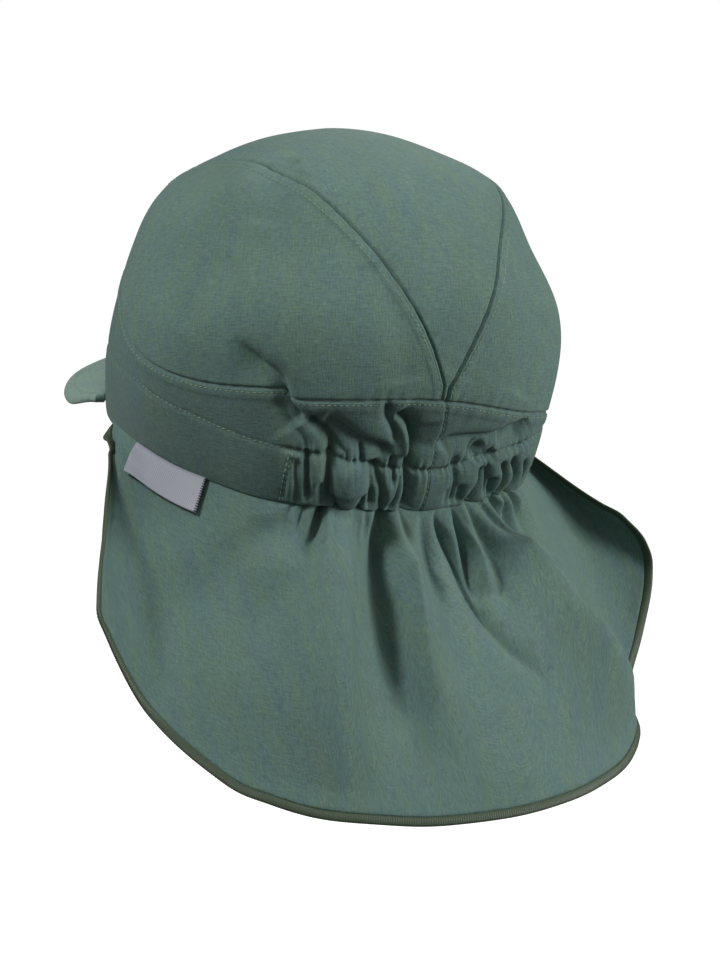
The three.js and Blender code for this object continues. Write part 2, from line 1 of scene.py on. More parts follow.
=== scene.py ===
import math
import bmesh
import bpy
import numpy as np
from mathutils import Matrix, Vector


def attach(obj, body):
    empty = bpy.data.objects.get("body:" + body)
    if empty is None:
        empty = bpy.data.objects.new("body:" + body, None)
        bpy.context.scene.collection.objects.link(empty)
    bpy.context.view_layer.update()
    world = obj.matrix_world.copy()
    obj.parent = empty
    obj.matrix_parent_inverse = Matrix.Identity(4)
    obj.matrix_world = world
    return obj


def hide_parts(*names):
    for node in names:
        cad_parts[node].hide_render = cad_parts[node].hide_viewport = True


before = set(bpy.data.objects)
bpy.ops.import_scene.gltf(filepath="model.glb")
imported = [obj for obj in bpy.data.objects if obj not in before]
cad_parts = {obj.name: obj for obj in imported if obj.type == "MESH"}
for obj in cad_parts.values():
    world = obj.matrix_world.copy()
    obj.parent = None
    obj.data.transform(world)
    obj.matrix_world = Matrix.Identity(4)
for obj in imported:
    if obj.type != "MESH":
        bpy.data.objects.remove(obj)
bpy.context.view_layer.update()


def in_scene(name, data):
    thing = bpy.data.objects.new(name, data)
    bpy.context.scene.collection.objects.link(thing)
    return thing


# Camera: the cap is seen from behind the wearer's left shoulder through a long lens, from a little
# above. The head opening's centre stands left of the middle of the picture.
picture_height = 960
pixels_per_metre_away = 3420
opening_column = 331
picture_middle_column = 360
camera_bearing = math.radians(147)
camera_rise = math.radians(5)
camera_distance = 1.2
sensor_width = 36
toward_camera = Vector((
    math.sin(camera_bearing) * math.cos(camera_rise),
    -math.cos(camera_bearing) * math.cos(camera_rise),
    math.sin(camera_rise),
))
camera_data = bpy.data.cameras.new("studio_camera")
camera_data.sensor_width = sensor_width
camera_data.lens = sensor_width * pixels_per_metre_away / picture_height
camera_data.shift_x = (picture_middle_column - opening_column) / picture_height
camera_data.clip_start = 0.05
camera_data.clip_end = 60
camera = in_scene("studio_camera", camera_data)
camera.location = toward_camera * camera_distance
camera.rotation_mode = "QUATERNION"
camera.rotation_quaternion = toward_camera.to_track_quat("Z", "Y")
bpy.context.scene.camera = camera

# Crown: three panels of thin grey-green cotton poplin, sewn together along two seams that run from
# the nape over the head to the brow. The seam allowances are pressed outward, away from the middle
# panel, and topstitched down.
mm = 0.001
crown_half_width = 79 * mm
crown_front_reach = 80 * mm
crown_back_reach = 74 * mm
crown_rise = 73 * mm
crown_widest_height = 50 * mm
brim_front_rise = 37 * mm
brim_back_drop = 7 * mm
casing_height = 22 * mm
band_height = 40 * mm
crown_seam_lean = 7 * mm
pinch_height = 3.2 * mm
crown_seam_dip = 1.8 * mm
temple_lift = 2.6 * mm
cloth_wall = 0.8 * mm
panel_tip_half_width = 1.0 * mm
cloth_edge_radius = 0.5 * mm
seam_roll = 0.7 * mm
seam_roll_width = 0.6 * mm
stitch_margin = 1.5 * mm
stitch_groove = 0.18 * mm
stitch_groove_width = 0.4 * mm
slack_pitch = 50 * mm
slack_height = 0.45 * mm
pucker_pitch = 7 * mm
pucker_reach = 4 * mm
pucker_depth = 0.16 * mm
allowance_height = 0.3 * mm
weld_distance = 0.002 * mm
panel_back_angle = -13
panel_front_angle = 152
form_bearings = [0, 45, 90, 112, 135, 180]
form_elevations = [-58, -42, -26, -10, 8, 26, 44, 62, 78, 90]
form_reach = {
    "front": [1.12, 1.08, 1.04, 1.01, 0.98, 0.975, 0.985, 0.97, 0.99, 1.0],
    "brow": [1.11, 1.07, 1.085, 1.005, 0.965, 0.975, 1.02, 0.985, 0.99, 1.0],
    "side": [1.12, 1.08, 1.04, 1.01, 0.985, 0.985, 1.015, 1.0, 0.995, 1.0],
    "rear": [1.13, 1.06, 1.015, 1.01, 1.02, 1.0, 1.04, 1.015, 1.0, 1.0],
    "nape": [1.19, 1.13, 1.06, 1.04, 1.035, 1.0, 1.035, 1.015, 1.0, 1.0],
    "back": [1.15, 1.01, 0.955, 0.985, 1.01, 1.01, 1.015, 1.0, 0.995, 1.0],
}
seam_bearings = [0, 45, 70, 90, 112, 135, 180]
lower_seam_rise = [1.0, 0.82, 0.615, 0.43, 0.25, 0.11, 0.0]
casing_rise = [1.14, 1.08, 1.1, 1.1, 1.0, 0.87, 0.61]
crown_seam_rise = [1.03, 1.12, 1.03, 0.77, 0.7, 0.8, 1.0]
panel_along = [0, 0.08, 0.2, 0.33, 0.45, 0.55, 0.66, 0.78, 0.9, 1]
panel_left_edge = [0, 5.5, 14.5, 23.5, 29, 32, 32.5, 32.5, 31, 29]
panel_right_edge = [0, 6.5, 17, 28, 35, 38, 37, 34, 31, 29]
form_middle = np.array([0, 0, crown_widest_height])


def unit(vectors):
    return vectors / np.maximum(np.linalg.norm(vectors, axis=-1, keepdims=True), 1e-12)


def bell(distance, width):
    return np.exp(-((distance / width) ** 2))


def through(places, values, at):
    """A smooth curve through the values that stand at the places, read where it is asked."""
    places = np.asarray(places, float)
    values = np.asarray(values, float)
    at = np.clip(np.asarray(at, float), places[0], places[-1])
    slopes = np.empty_like(values)
    slopes[..., 1:-1] = (values[..., 2:] - values[..., :-2]) / (places[2:] - places[:-2])
    slopes[..., 0] = (values[..., 1] - values[..., 0]) / (places[1] - places[0])
    slopes[..., -1] = (values[..., -1] - values[..., -2]) / (places[-1] - places[-2])
    k = np.clip(np.searchsorted(places, at, side="right") - 1, 0, len(places) - 2)
    span = places[k + 1] - places[k]
    t = (at - places[k]) / span

    def pick(table, index):
        if table.ndim == 1:
            return table[index]
        return np.take_along_axis(table, index[..., None], -1)[..., 0]

    return (
        (2 * t**3 - 3 * t**2 + 1) * pick(values, k)
        + (t**3 - 2 * t**2 + t) * span * pick(slopes, k)
        + (3 * t**2 - 2 * t**3) * pick(values, k + 1)
        + (t**3 - t**2) * span * pick(slopes, k + 1)
    )


def round_the_head(bearings, values, bearing):
    """The same for values that are alike on both sides of the head."""
    values = np.asarray(values, float)
    turned = np.abs(np.mod(np.asarray(bearing, float) + 180, 360) - 180)
    places = [-bearings[1], *bearings, 360 - bearings[-2]]
    padded = np.concatenate([values[..., 1:2], values, values[..., -2:-1]], -1)
    return through(places, padded, turned)


def ease(low, high, value):
    t = np.clip((value - low) / (high - low), 0, 1)
    return t * t * (3 - 2 * t)


def head_form(bearing, elevation):
    """The bare form of crown and band: points, and the directions that they lie in."""
    bearing, elevation = np.broadcast_arrays(np.asarray(bearing, float), np.asarray(elevation, float))
    shares = np.stack([through(form_elevations, reach, elevation) for reach in form_reach.values()], -1)
    share = round_the_head(form_bearings, shares, bearing)
    turn = np.radians(bearing)
    rise = np.radians(elevation)
    ahead = np.cos(turn)
    reach = np.where(ahead > 0, crown_front_reach, crown_back_reach)
    offset = np.stack([
        crown_half_width * share * np.cos(rise) * np.sin(turn),
        -reach * share * np.cos(rise) * ahead,
        crown_rise * share * np.sin(rise),
    ], -1)
    return offset + form_middle, unit(offset)


def elevation_at(bearing, height):
    bearing, height = np.broadcast_arrays(np.asarray(bearing, float), np.asarray(height, float))
    low = np.full(bearing.shape, -62.0)
    high = np.full(bearing.shape, 89.0)
    for _ in range(22):
        middle = (low + high) / 2
        under = head_form(bearing, middle)[0][..., 2] < height
        low = np.where(under, middle, low)
        high = np.where(under, high, middle)
    return (low + high) / 2


def temple_rise(bearing):
    """How much higher the seam of flap, label and stitching is before the left ear. The band's own
    cloth, whose bearings run past 360 there, keeps its height."""
    return temple_lift * ease(50, 64, bearing) * (1 - ease(80, 104, bearing))


def lower_seam(bearing):
    rise = brim_front_rise + brim_back_drop
    level = rise * round_the_head(seam_bearings, lower_seam_rise, bearing) - brim_back_drop
    return level + temple_rise(bearing)


def casing_seam(bearing):
    return lower_seam(bearing) + casing_height * round_the_head(seam_bearings, casing_rise, bearing)


def crown_seam(bearing):
    """The seam dips toward the back, lies higher before the left ear's pinch and steps down in it."""
    bearing = np.mod(np.asarray(bearing, float), 360)
    lean = crown_seam_lean * np.sin(np.radians(bearing))
    pinch_step = pinch_height * ease(85, 132, bearing) * (1 - ease(136.6, 139.4, bearing))
    dip = crown_seam_dip * ease(60, 100, bearing) * (1 - ease(205, 235, bearing))
    height = band_height * round_the_head(seam_bearings, crown_seam_rise, bearing) - dip
    return lower_seam(bearing) - temple_rise(bearing) + height + lean + pinch_step


def facing(direction):
    """Bearing and elevation of a direction from the middle of the head."""
    bearing = np.mod(np.degrees(np.arctan2(direction[..., 0], -direction[..., 1])), 360)
    return bearing, np.degrees(np.arcsin(np.clip(direction[..., 2], -1, 1)))


def over_head(angle, lateral):
    """The direction at an angle over the head from nape to brow, and one to the side."""
    angle, lateral = np.broadcast_arrays(np.radians(angle), np.radians(lateral))
    level = np.cos(lateral)
    return np.stack([np.sin(lateral), level * np.cos(angle), level * np.sin(angle)], -1)


tip_angle = math.degrees(panel_tip_half_width / crown_back_reach)


def panel_edge(angle, side):
    """How far to the side the middle panel's edge lies, in degrees."""
    along = (angle - panel_back_angle) / (panel_front_angle - panel_back_angle)
    left = through(panel_along, panel_left_edge, along)
    right = through(panel_along, panel_right_edge, along)
    return np.maximum(np.where(np.asarray(side) > 0, left, right), tip_angle)


def meets_crown_seam(across, above, below):
    """The angle over the head at which a line of the middle panel reaches the crown seam."""
    across = np.asarray(across, float)
    above = np.full(across.shape, float(above))
    below = np.full(across.shape, float(below))
    for _ in range(26):
        middle = (above + below) / 2
        bearing, elevation = facing(over_head(middle, across * panel_edge(middle, across)))
        higher = head_form(bearing, elevation)[0][..., 2] > crown_seam(bearing)
        above = np.where(higher, middle, above)
        below = np.where(higher, below, middle)
    return (above + below) / 2


def over_crown(across, share):
    """The angle over the head at a share of the way from the crown seam's back to its front."""
    back = meets_crown_seam(across, 40, -40)
    return back + (meets_crown_seam(across, 130, 175) - back) * share


def steps_along(line):
    """How far along a line of points each of them stands."""
    return np.concatenate([[0], np.cumsum(np.linalg.norm(np.diff(line, axis=0), axis=1))])


def beside(points, normals, line):
    """Distance of each point from a line on the cloth, with its sign for the side, and the share
    along the line of the nearest place."""
    flat = points.reshape(-1, 3)
    up = np.broadcast_to(normals, points.shape).reshape(-1, 3)
    nearest = np.full(len(flat), np.inf)
    side = np.zeros(len(flat))
    share = np.zeros(len(flat))
    starts = steps_along(line)
    for k, run in enumerate(np.diff(line, axis=0)):
        offset = flat - line[k]
        t = np.clip(offset @ run / max(run @ run, 1e-12), 0, 1)
        gap = offset - t[:, None] * run
        distance = np.linalg.norm(gap, axis=1)
        near = distance < nearest
        nearest = np.where(near, distance, nearest)
        turned = np.einsum("ij,ij->i", np.cross(up, run), gap)
        side = np.where(near, np.sign(turned), side)
        share = np.where(near, (starts[k] + t * (starts[k + 1] - starts[k])) / starts[-1], share)
    return (nearest * side).reshape(points.shape[:-1]), share.reshape(points.shape[:-1])


def unevenness(points, seed, size, height):
    """Gentle waves of that size and height in slack cloth, the same on each run."""
    waves = np.random.default_rng(seed)
    total = np.zeros(points.shape[:-1])
    for _ in range(6):
        direction = unit(waves.normal(size=3))
        pitch = size * waves.uniform(0.7, 1.5)
        total += np.sin(points @ direction * 2 * np.pi / pitch + waves.uniform(0, 6.28))
    return total * height / 2.5


def puckers(share, distance, length, pitch, reach, depth, seed):
    """Small puckers that topstitching draws up across a seam."""
    waves = np.random.default_rng(seed)
    along = share * length
    wander = 1.4 * np.sin(along / (pitch * 4.1) + waves.uniform(0, 6)) + np.sin(along / (pitch * 1.9))
    strength = 0.6 + 0.4 * np.sin(along / (pitch * 3.3) + waves.uniform(0, 6))
    return depth * strength * np.sin(2 * np.pi * along / pitch + wander) * np.exp(-np.abs(distance / reach))


def normals_of(points):
    """Outward normals of a grid of points, by the slopes between its neighbours."""
    down = np.gradient(points, axis=0)
    along = np.gradient(points, axis=1)
    return unit(np.cross(along, down))


def rolled(edge_distance, radius):
    """Share of the wall's thickness near an edge that is rounded over."""
    return np.sqrt(np.maximum(1 - (1 - np.clip(edge_distance / radius, 0, 1)) ** 2, 0))


def turned_outward(mesh, weld=0.0):
    """Joins the corners that meet, turns the faces outward and shades the mesh smooth."""
    build = bmesh.new()
    build.from_mesh(mesh)
    if weld:
        bmesh.ops.remove_doubles(build, verts=build.verts, dist=weld)
    bmesh.ops.recalc_face_normals(build, faces=build.faces)
    for part in build.faces:
        part.smooth = True
    build.to_mesh(mesh)
    build.free()


def sewn_cloth(name, middle, normals, half, across, along, joined=False):
    """A closed piece of cloth: a grid of points with half the thickness on both sides, which comes
    down to nothing at the borders, but not at the sides if they are joined. Across and along are the
    cloth's own measures in millimetres, which its weave follows."""
    rows, columns = middle.shape[:2]
    half = np.broadcast_to(half, (rows, columns)).copy()
    half[0] = half[-1] = 0
    if not joined:
        half[:, 0] = half[:, -1] = 0
    raised = normals * half[..., None]
    points = np.concatenate([(middle + raised).reshape(-1, 3), (middle - raised).reshape(-1, 3)])
    corner = np.arange(rows * columns).reshape(rows, columns)
    face = np.stack([corner[:-1, :-1], corner[:-1, 1:], corner[1:, 1:], corner[1:, :-1]], -1).reshape(-1, 4)
    faces = np.concatenate([face, face[:, ::-1] + rows * columns])
    mesh = bpy.data.meshes.new(name)
    mesh.from_pydata(points.tolist(), [], faces.tolist())
    place = np.stack([np.broadcast_to(across, (rows, columns)), np.broadcast_to(along, (rows, columns))], -1)
    place = np.concatenate([place.reshape(-1, 2)] * 2)
    layer = mesh.uv_layers.new(name="cloth")
    layer.data.foreach_set("uv", place[faces.reshape(-1)].astype(np.float32).ravel())
    turned_outward(mesh, weld=weld_distance)
    return in_scene(name, mesh)


def new_material(name):
    material = bpy.data.materials.new(name)
    material.use_nodes = True
    return material


def node(material, kind, inputs=(), **settings):
    """Adds a node. Inputs are pairs of a socket and what goes in: a link's start or a value."""
    made = material.node_tree.nodes.new(kind)
    for key, value in settings.items():
        setattr(made, key, value)
    for socket, source in dict(inputs).items():
        if isinstance(source, bpy.types.NodeSocket):
            material.node_tree.links.new(source, made.inputs[socket])
        else:
            made.inputs[socket].default_value = source
    return made


def noise(material, place, scale, detail, **others):
    inputs = {"Vector": place, "Scale": scale, "Detail": detail, **others}
    return node(material, "ShaderNodeTexNoise", inputs).outputs["Fac"]


def drawn_out(material, place, turn, stretch):
    """The place in cloth that is turned a little and stretched along its threads."""
    inputs = {"Vector": place, "Rotation": (0, 0, turn), "Scale": stretch}
    return node(material, "ShaderNodeMapping", inputs).outputs["Vector"]


def worked_out(material, operation, *values):
    return node(material, "ShaderNodeMath", dict(enumerate(values)), operation=operation).outputs[0]


def mapped(material, value, low, high, to_low=0.0, to_high=1.0):
    inputs = {"Value": value, "From Min": low, "From Max": high, "To Min": to_low, "To Max": to_high}
    return node(material, "ShaderNodeMapRange", inputs).outputs[0]


def mixed(material, share, first, second):
    inputs = {"Factor": share, 6: first, 7: second}
    return node(material, "ShaderNodeMix", inputs, data_type="RGBA").outputs[2]


def dressed(material, colour, roughness, relief, strength, depth, sheen):
    """Gives the material's own shader its colour, roughness, relief and sheen, and returns it."""
    shader = material.node_tree.nodes["Principled BSDF"]
    bump = node(material, "ShaderNodeBump", {"Strength": strength, "Distance": depth, "Height": relief})
    for socket, source in (("Base Color", colour), ("Roughness", roughness), ("Normal", bump.outputs[0])):
        material.node_tree.links.new(source, shader.inputs[socket])
    shader.inputs["Sheen Weight"].default_value = sheen
    return shader


def poplin(name, shade, blue_thread, olive_thread):
    """Plain-weave cotton: fine threads both ways, some bluer, some more olive, with slubs and specks."""
    cotton = new_material(name)
    place = node(cotton, "ShaderNodeUVMap", uv_map="cloth").outputs["UV"]
    fine_threads = ((0.1, (1.7, 0.34, 1)), (0.1, (0.3, 1.6, 1)))
    thick_threads = ((-0.1, (1.3, 0.14, 1)), (0.15, (0.12, 1.2, 1)))
    threads = [
        noise(cotton, drawn_out(cotton, place, turn, stretch), 1.0, 4.0, Roughness=0.65)
        for turn, stretch in fine_threads + thick_threads
    ]
    woven = worked_out(cotton, "ADD", threads[0], threads[1])
    slubs = worked_out(cotton, "ADD", threads[2], threads[3])
    streaks = noise(cotton, drawn_out(cotton, place, 0.1, (0.16, 0.025, 1)), 1.0, 3.0)
    tone = mapped(cotton, worked_out(cotton, "MULTIPLY_ADD", streaks, 1.0, slubs), 1.25, 1.75)
    dye = mixed(cotton, 0.7, shade, mixed(cotton, tone, blue_thread, olive_thread))
    lighter = mapped(cotton, woven, 0.75, 1.25, 0.74, 1.26)
    specks = mapped(cotton, slubs, 0.62, 0.8, 0.72, 1.0)
    worn = mapped(cotton, noise(cotton, place, 0.05, 3.0), 0.3, 0.7, 0.95, 1.05)
    level = worked_out(cotton, "MULTIPLY", worked_out(cotton, "MULTIPLY", lighter, specks), worn)
    dyed = node(cotton, "ShaderNodeVectorMath", {0: dye, "Scale": level}, operation="SCALE").outputs[0]
    rough = mapped(cotton, woven, 0.7, 1.3, 0.72, 0.88)
    wave = {"Vector": place, "Scale": 1.1, "Distortion": 0.3, "Detail": 1.0, "Detail Scale": 0.4}
    crossings = [
        node(cotton, "ShaderNodeTexWave", wave, bands_direction=direction).outputs["Fac"]
        for direction in ("X", "Y")
    ]
    weave = worked_out(cotton, "MULTIPLY", *crossings)
    relief = worked_out(cotton, "MULTIPLY_ADD", woven, 4.0, weave)
    shader = dressed(cotton, dyed, rough, relief, strength=0.4, depth=0.22 * mm, sheen=0.12)
    shader.inputs["Sheen Roughness"].default_value = 0.45
    shader.inputs["Sheen Tint"].default_value = (0.85, 0.95, 0.9, 1)
    shader.inputs["Specular IOR Level"].default_value = 0.3
    return cotton


def crown_line(angle, side):
    """Points on the seam between the middle panel and a side panel."""
    return head_form(*facing(over_head(angle, side * panel_edge(angle, side))))[0]


panel_seams = {}
for side in (1, -1):
    panel_seams[side] = crown_line(over_crown(side, np.linspace(0, 1, 160)), side)
round_bearings = np.linspace(0, 360, 361)
crown_seam_line = head_form(round_bearings, elevation_at(round_bearings, crown_seam(round_bearings)))[0]


def band_point(bearing, share):
    """A place on the bare form at a share of the band's height there. Above 1 it is on the crown."""
    height = lower_seam(bearing) + (crown_seam(bearing) - lower_seam(bearing)) * share
    return head_form(bearing, elevation_at(bearing, height))


# Creases of band and crown: depth, width on the left and on the right hand of one who walks along,
# how crisp the crease is, the way over which it rises to its depth, and its points from end to end:
# bearing and share of the band's height. Lengths are in millimetres. A negative depth is a ridge.
crease_values = ("depth", "left", "right", "crisp", "rising", "line")
creases = [
    (3.4, 1.1, 4.2, 1.3, 13, [(124, 1.44), (128.5, 1.35), (132.2, 1.23), (135.5, 1.15), (137.2, 1.08),
        (138, 0.98), (140, 0.89), (142, 0.78)]),
    (1.0, 0.8, 1.6, 1.1, 3, [(134, 0.91), (138.2, 0.78), (141.5, 0.66), (143.5, 0.52)]),
    (4.4, 1.9, 1.1, 1.5, 3, [(142.8, 0.86), (144.2, 0.78), (146.5, 0.69), (148.2, 0.61), (148.2, 0.52),
        (147.8, 0.47), (147.5, 0.25), (147.2, 0.0)]),
    (1.0, 0.7, 1.0, 1.1, 3, [(148.5, 0.62), (152.2, 0.52), (154, 0.44)]),
    (3.4, 1.5, 3.8, 1.6, 3, [(147, 0.84), (151.5, 0.76), (155, 0.67), (158.8, 0.61), (164, 0.56),
        (166.5, 0.49)]),
    (2.8, 1.8, 1.2, 1.5, 3, [(163.5, 1.0), (163.5, 0.93), (164.2, 0.83), (167.2, 0.69), (168.2, 0.6)]),
    (4.8, 2.2, 1.2, 1.5, 3, [(166.5, 0.88), (170.5, 0.81), (173, 0.71), (174.5, 0.57), (173.5, 0.46),
        (173.8, 0.36), (174.8, 0.2), (174.5, 0.09), (173.8, -0.02)]),
    (-1.8, 1.5, 1.8, 2, 3, [(169.0, 0.74), (171.2, 0.6), (171.4, 0.47)]),
    (1.4, 5, 4, 2, 3, [(177, 0.8), (178.5, 0.5)]),
    (2.0, 0.9, 3.6, 1.2, 3, [(183, 0.57), (185.5, 0.64), (187.8, 0.67), (196.2, 0.71), (202, 0.74),
        (207, 0.81), (211.8, 0.88), (213.5, 0.96)]),
    (1.6, 3, 3, 2, 3, [(204, 0.68), (209, 0.72), (214, 0.8)]),
    (1.2, 0.9, 0.7, 1.1, 3, [(196.8, 0.68), (195.8, 0.6), (195.2, 0.49), (193.5, 0.41)]),
    (3.2, 2.2, 1.5, 1.8, 3, [(200.5, 0.63), (198.5, 0.56), (197.2, 0.44)]),
    (3.0, 2.0, 1.5, 1.8, 3, [(205, 0.57), (203.6, 0.5), (202.8, 0.42)]),
    (1.8, 1, 0.9, 1.4, 3, [(192.2, 0.5), (191, 0.46), (190.2, 0.39)]),
    (0.6, 0.8, 0.8, 1.5, 3, [(138.8, 0.5), (136.8, 0.25), (134.8, 0.02)]),
    (1.8, 1.4, 0.8, 1.5, 3, [(139.4, 0.47), (139.0, 0.32), (139.0, 0.2), (138.0, 0.0)]),
    (3.2, 1.5, 0.7, 1.5, 3, [(141.8, 0.54), (141.8, 0.29), (141.5, 0.04)]),
    (2.0, 0.9, 0.9, 1.6, 3, [(145.6, 0.26), (146.0, 0.0)]),
    (2.2, 1.0, 1.0, 1.6, 3, [(149.0, 0.14), (150.8, -0.05)]),
    (-1.0, 5, 5, 2, 3, [(153.4, 0.42), (154, 0.1)]),
    (2.4, 1.2, 1.2, 1.6, 3, [(159.2, 0.2), (158.2, 0.08), (156.6, -0.05)]),
    (2.4, 1.0, 0.9, 1.5, 3, [(157.0, 0.6), (157.5, 0.45), (158.6, 0.36)]),
    (3.0, 2.2, 0.7, 1.5, 3, [(160.0, 0.45), (160.5, 0.3), (160.8, 0.15), (161.0, 0.0)]),
    (2.8, 1.2, 1.2, 1.5, 3, [(161.8, 0.45), (163.2, 0.3), (164.8, 0.2), (165.8, -0.03)]),
    (2.2, 0.9, 0.9, 1.5, 3, [(167.2, 0.52), (167.5, 0.39), (168.5, 0.34), (168.7, 0.22)]),
    (2.2, 1.2, 0.9, 1.5, 3, [(171.8, 0.34), (170.5, 0.14), (168.0, -0.02)]),
    (2.0, 1.4, 0.9, 1.4, 3, [(189.8, 0.44), (191.8, 0.32), (192.6, 0.22), (194.5, 0.0)]),
    (1.2, 1.5, 1.5, 2, 3, [(189.6, 0.24), (192.2, 0.0)]),
    (1.8, 1.2, 1.2, 1.6, 3, [(195.0, 0.26), (197.0, 0.0)]),
    (2.8, 1.5, 0.9, 1.5, 3, [(200.4, 0.42), (201.5, 0.27), (200.8, 0.15), (200.3, -0.03)]),
    (3.2, 1.1, 0.8, 1.5, 3, [(203.0, 0.44), (205.0, 0.22), (206.4, 0.06)]),
    (3.2, 1.3, 1.0, 1.5, 3, [(206.6, 0.3), (209.5, -0.02)]),
    (3.6, 1.1, 0.9, 1.5, 3, [(208.0, 0.46), (211.0, 0.3), (212.2, 0.12), (211.6, -0.04)]),
    (3.8, 1.4, 1.0, 1.5, 3, [(211.8, 0.5), (215.2, 0.34), (216.8, 0.18), (216.0, -0.05)]),
    (2.4, 1.0, 0.8, 1.5, 3, [(217.6, 0.48), (220.6, 0.3), (221.8, 0.14), (220.8, -0.02)]),
    (1.6, 1.3, 1.0, 1.6, 3, [(223.6, 0.44), (225.6, 0.22), (224.6, 0.02)]),
    (0.7, 7, 7, 2, 3, [(108, 1.5), (114, 1.9), (120, 2.2)]),
    (0.9, 3, 3, 1.8, 3, [(125, 3.02), (124, 2.7), (121, 2.3)]),
    (1.0, 2.6, 2.6, 1.8, 3, [(131, 3.02), (129, 2.75), (126, 2.45)]),
    (0.8, 3, 3, 1.8, 3, [(138, 3.0), (135, 2.7), (131, 2.4)]),
    (0.8, 6, 6, 2, 3, [(168, 1.15), (166, 1.6), (160, 2.2)]),
    (0.8, 6, 6, 2, 3, [(206, 1.15), (210, 1.7), (214, 2.2)]),
]
creases = [dict(zip(crease_values, row)) for row in creases]
crease_steps = np.linspace(0, 1, 15)
for crease in creases:
    places = np.linspace(0, 1, len(crease["line"]))
    line_bearings, line_shares = (through(places, column, crease_steps) for column in zip(*crease["line"]))
    crease["path"] = band_point(line_bearings, line_shares)[0]


def creased(points, normals):
    """Height of the creases and of the slack of the cloth, the same for all that is sewn together."""
    relief = unevenness(points, 4, slack_pitch, slack_height)
    for crease in creases:
        reach = 6 * max(crease["left"], crease["right"]) * mm
        low = crease["path"].min(axis=0) - reach
        high = crease["path"].max(axis=0) + reach
        near = np.all((points > low) & (points < high), axis=-1)
        if not near.any():
            continue
        distance, along = beside(points[near], normals[near], crease["path"])
        width = np.where(distance > 0, crease["left"], crease["right"]) * mm
        length = steps_along(crease["path"])[-1]
        rising = ease(-0.5 * mm, crease["rising"] * mm, along * length)
        fade = rising * ease(-0.5 * mm, 3 * mm, (1 - along) * length)
        sharp = np.exp(-np.abs(distance / width) ** crease["crisp"])
        relief[near] -= crease["depth"] * mm * fade * (sharp + 0.3 * bell(distance, 3 * width))
    return relief


def allowance(away, height, wide, gone):
    """Ridge over a pressed seam allowance, with the groove that its topstitching draws."""
    raised = ease(0.5 * mm, 1.0 * mm, away) * (1 - ease(wide, gone, away))
    return height * raised - stitch_groove * bell(away - stitch_margin, stitch_groove_width)


def crown_relief(points, radial, side_panel):
    """Creases, seam rolls, and the allowances and puckers under the topstitching."""
    relief = creased(points, radial)
    for side, line in panel_seams.items():
        distance, share = beside(points, radial, line)
        away = np.abs(distance)
        relief -= seam_roll * bell(away, seam_roll_width)
        if side_panel == side:
            relief += allowance(away, allowance_height, 3.4 * mm, 5.0 * mm)
        length = steps_along(line)[-1]
        relief += puckers(share, distance, length, pucker_pitch, pucker_reach, pucker_depth, 11 + side)
    relief += around_puckers(points, np.abs(beside(points, radial, crown_seam_line)[0]))
    return relief


def around_puckers(points, away):
    """Roll and puckers along the crown seam, on both of its sides."""
    bearing = facing(points - form_middle)[0]
    waves = np.sin(bearing * 1.35 + 1.4 * np.sin(bearing * 0.31)) * (0.6 + 0.4 * np.sin(bearing * 0.17))
    return 0.2 * mm * waves * np.exp(-away / (4 * mm)) - seam_roll * bell(away, seam_roll_width)


def crown_panel(name, direction, side_panel):
    points, radial = head_form(*facing(direction))
    relief = crown_relief(points, radial, side_panel)
    middle = points + radial * (relief - cloth_wall / 2)[..., None]
    lines = [crown_seam_line, *(line for side, line in panel_seams.items() if side_panel in (0, side))]
    edge = np.min([np.abs(beside(points, radial, line)[0]) for line in lines], axis=0)
    across = direction[..., 0] * crown_half_width / mm
    along = np.degrees(np.arctan2(direction[..., 2], direction[..., 1])) * math.radians(1) * crown_rise / mm
    if side_panel:
        bearing, elevation = facing(direction)
        across = bearing * math.radians(1) * crown_half_width / mm
        along = elevation * math.radians(1) * crown_rise / mm
    return sewn_cloth(name, middle, radial, cloth_wall / 2 * rolled(edge, cloth_edge_radius), across, along)


def close_to_edges(count, crowding):
    """Shares from 0 to 1 that stand closer together at both ends."""
    t = np.linspace(-1, 1, count)
    return (np.sign(t) * (1 - (1 - np.abs(t)) ** crowding) + 1) / 2


crown_shade = (0.090, 0.158, 0.136, 1)
crown_blue = (0.078, 0.142, 0.146, 1)
crown_olive = (0.104, 0.170, 0.118, 1)
crown_cotton = poplin("crown_poplin", crown_shade, crown_blue, crown_olive)
share = close_to_edges(220, 1.5)[:, None]
across = (close_to_edges(76, 1.6) * 2 - 1)[None, :]
angle = over_crown(across, share)
crown_middle = crown_panel("crown_middle_panel", over_head(angle, across * panel_edge(angle, across)), 0)
crown_sides = []
for side, word in ((1, "left"), (-1, "right")):
    share = close_to_edges(230, 1.6)[None, :]
    rise = close_to_edges(72, 1.6)[:, None]
    angle = over_crown(side, share)
    upper = over_head(angle, side * panel_edge(angle, side))
    bearing_of_ends = facing(upper[0, [0, -1]])[0]
    if side < 0:
        bearing_of_ends = np.where(bearing_of_ends < 90, bearing_of_ends + 360, bearing_of_ends)
    bearing = bearing_of_ends[0] + (bearing_of_ends[1] - bearing_of_ends[0]) * share
    elevation = np.radians(elevation_at(bearing, crown_seam(bearing)))
    lower = np.stack([
        np.cos(elevation) * np.sin(np.radians(bearing)),
        -np.cos(elevation) * np.cos(np.radians(bearing)),
        np.sin(elevation),
    ], -1)
    direction = unit(lower + (upper - lower) * rise[..., None])
    direction[:, 0] = upper[:, 0]
    direction[:, -1] = upper[:, -1]
    crown_sides.append(crown_panel(f"crown_{word}_panel", direction, side))
for piece, solid in zip(
    [crown_middle, *crown_sides],
    ["crown_centre_panel", "crown_side_panel_left", "crown_side_panel_right"],
):
    piece.data.materials.append(crown_cotton)
    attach(piece, "root")
    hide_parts(solid)

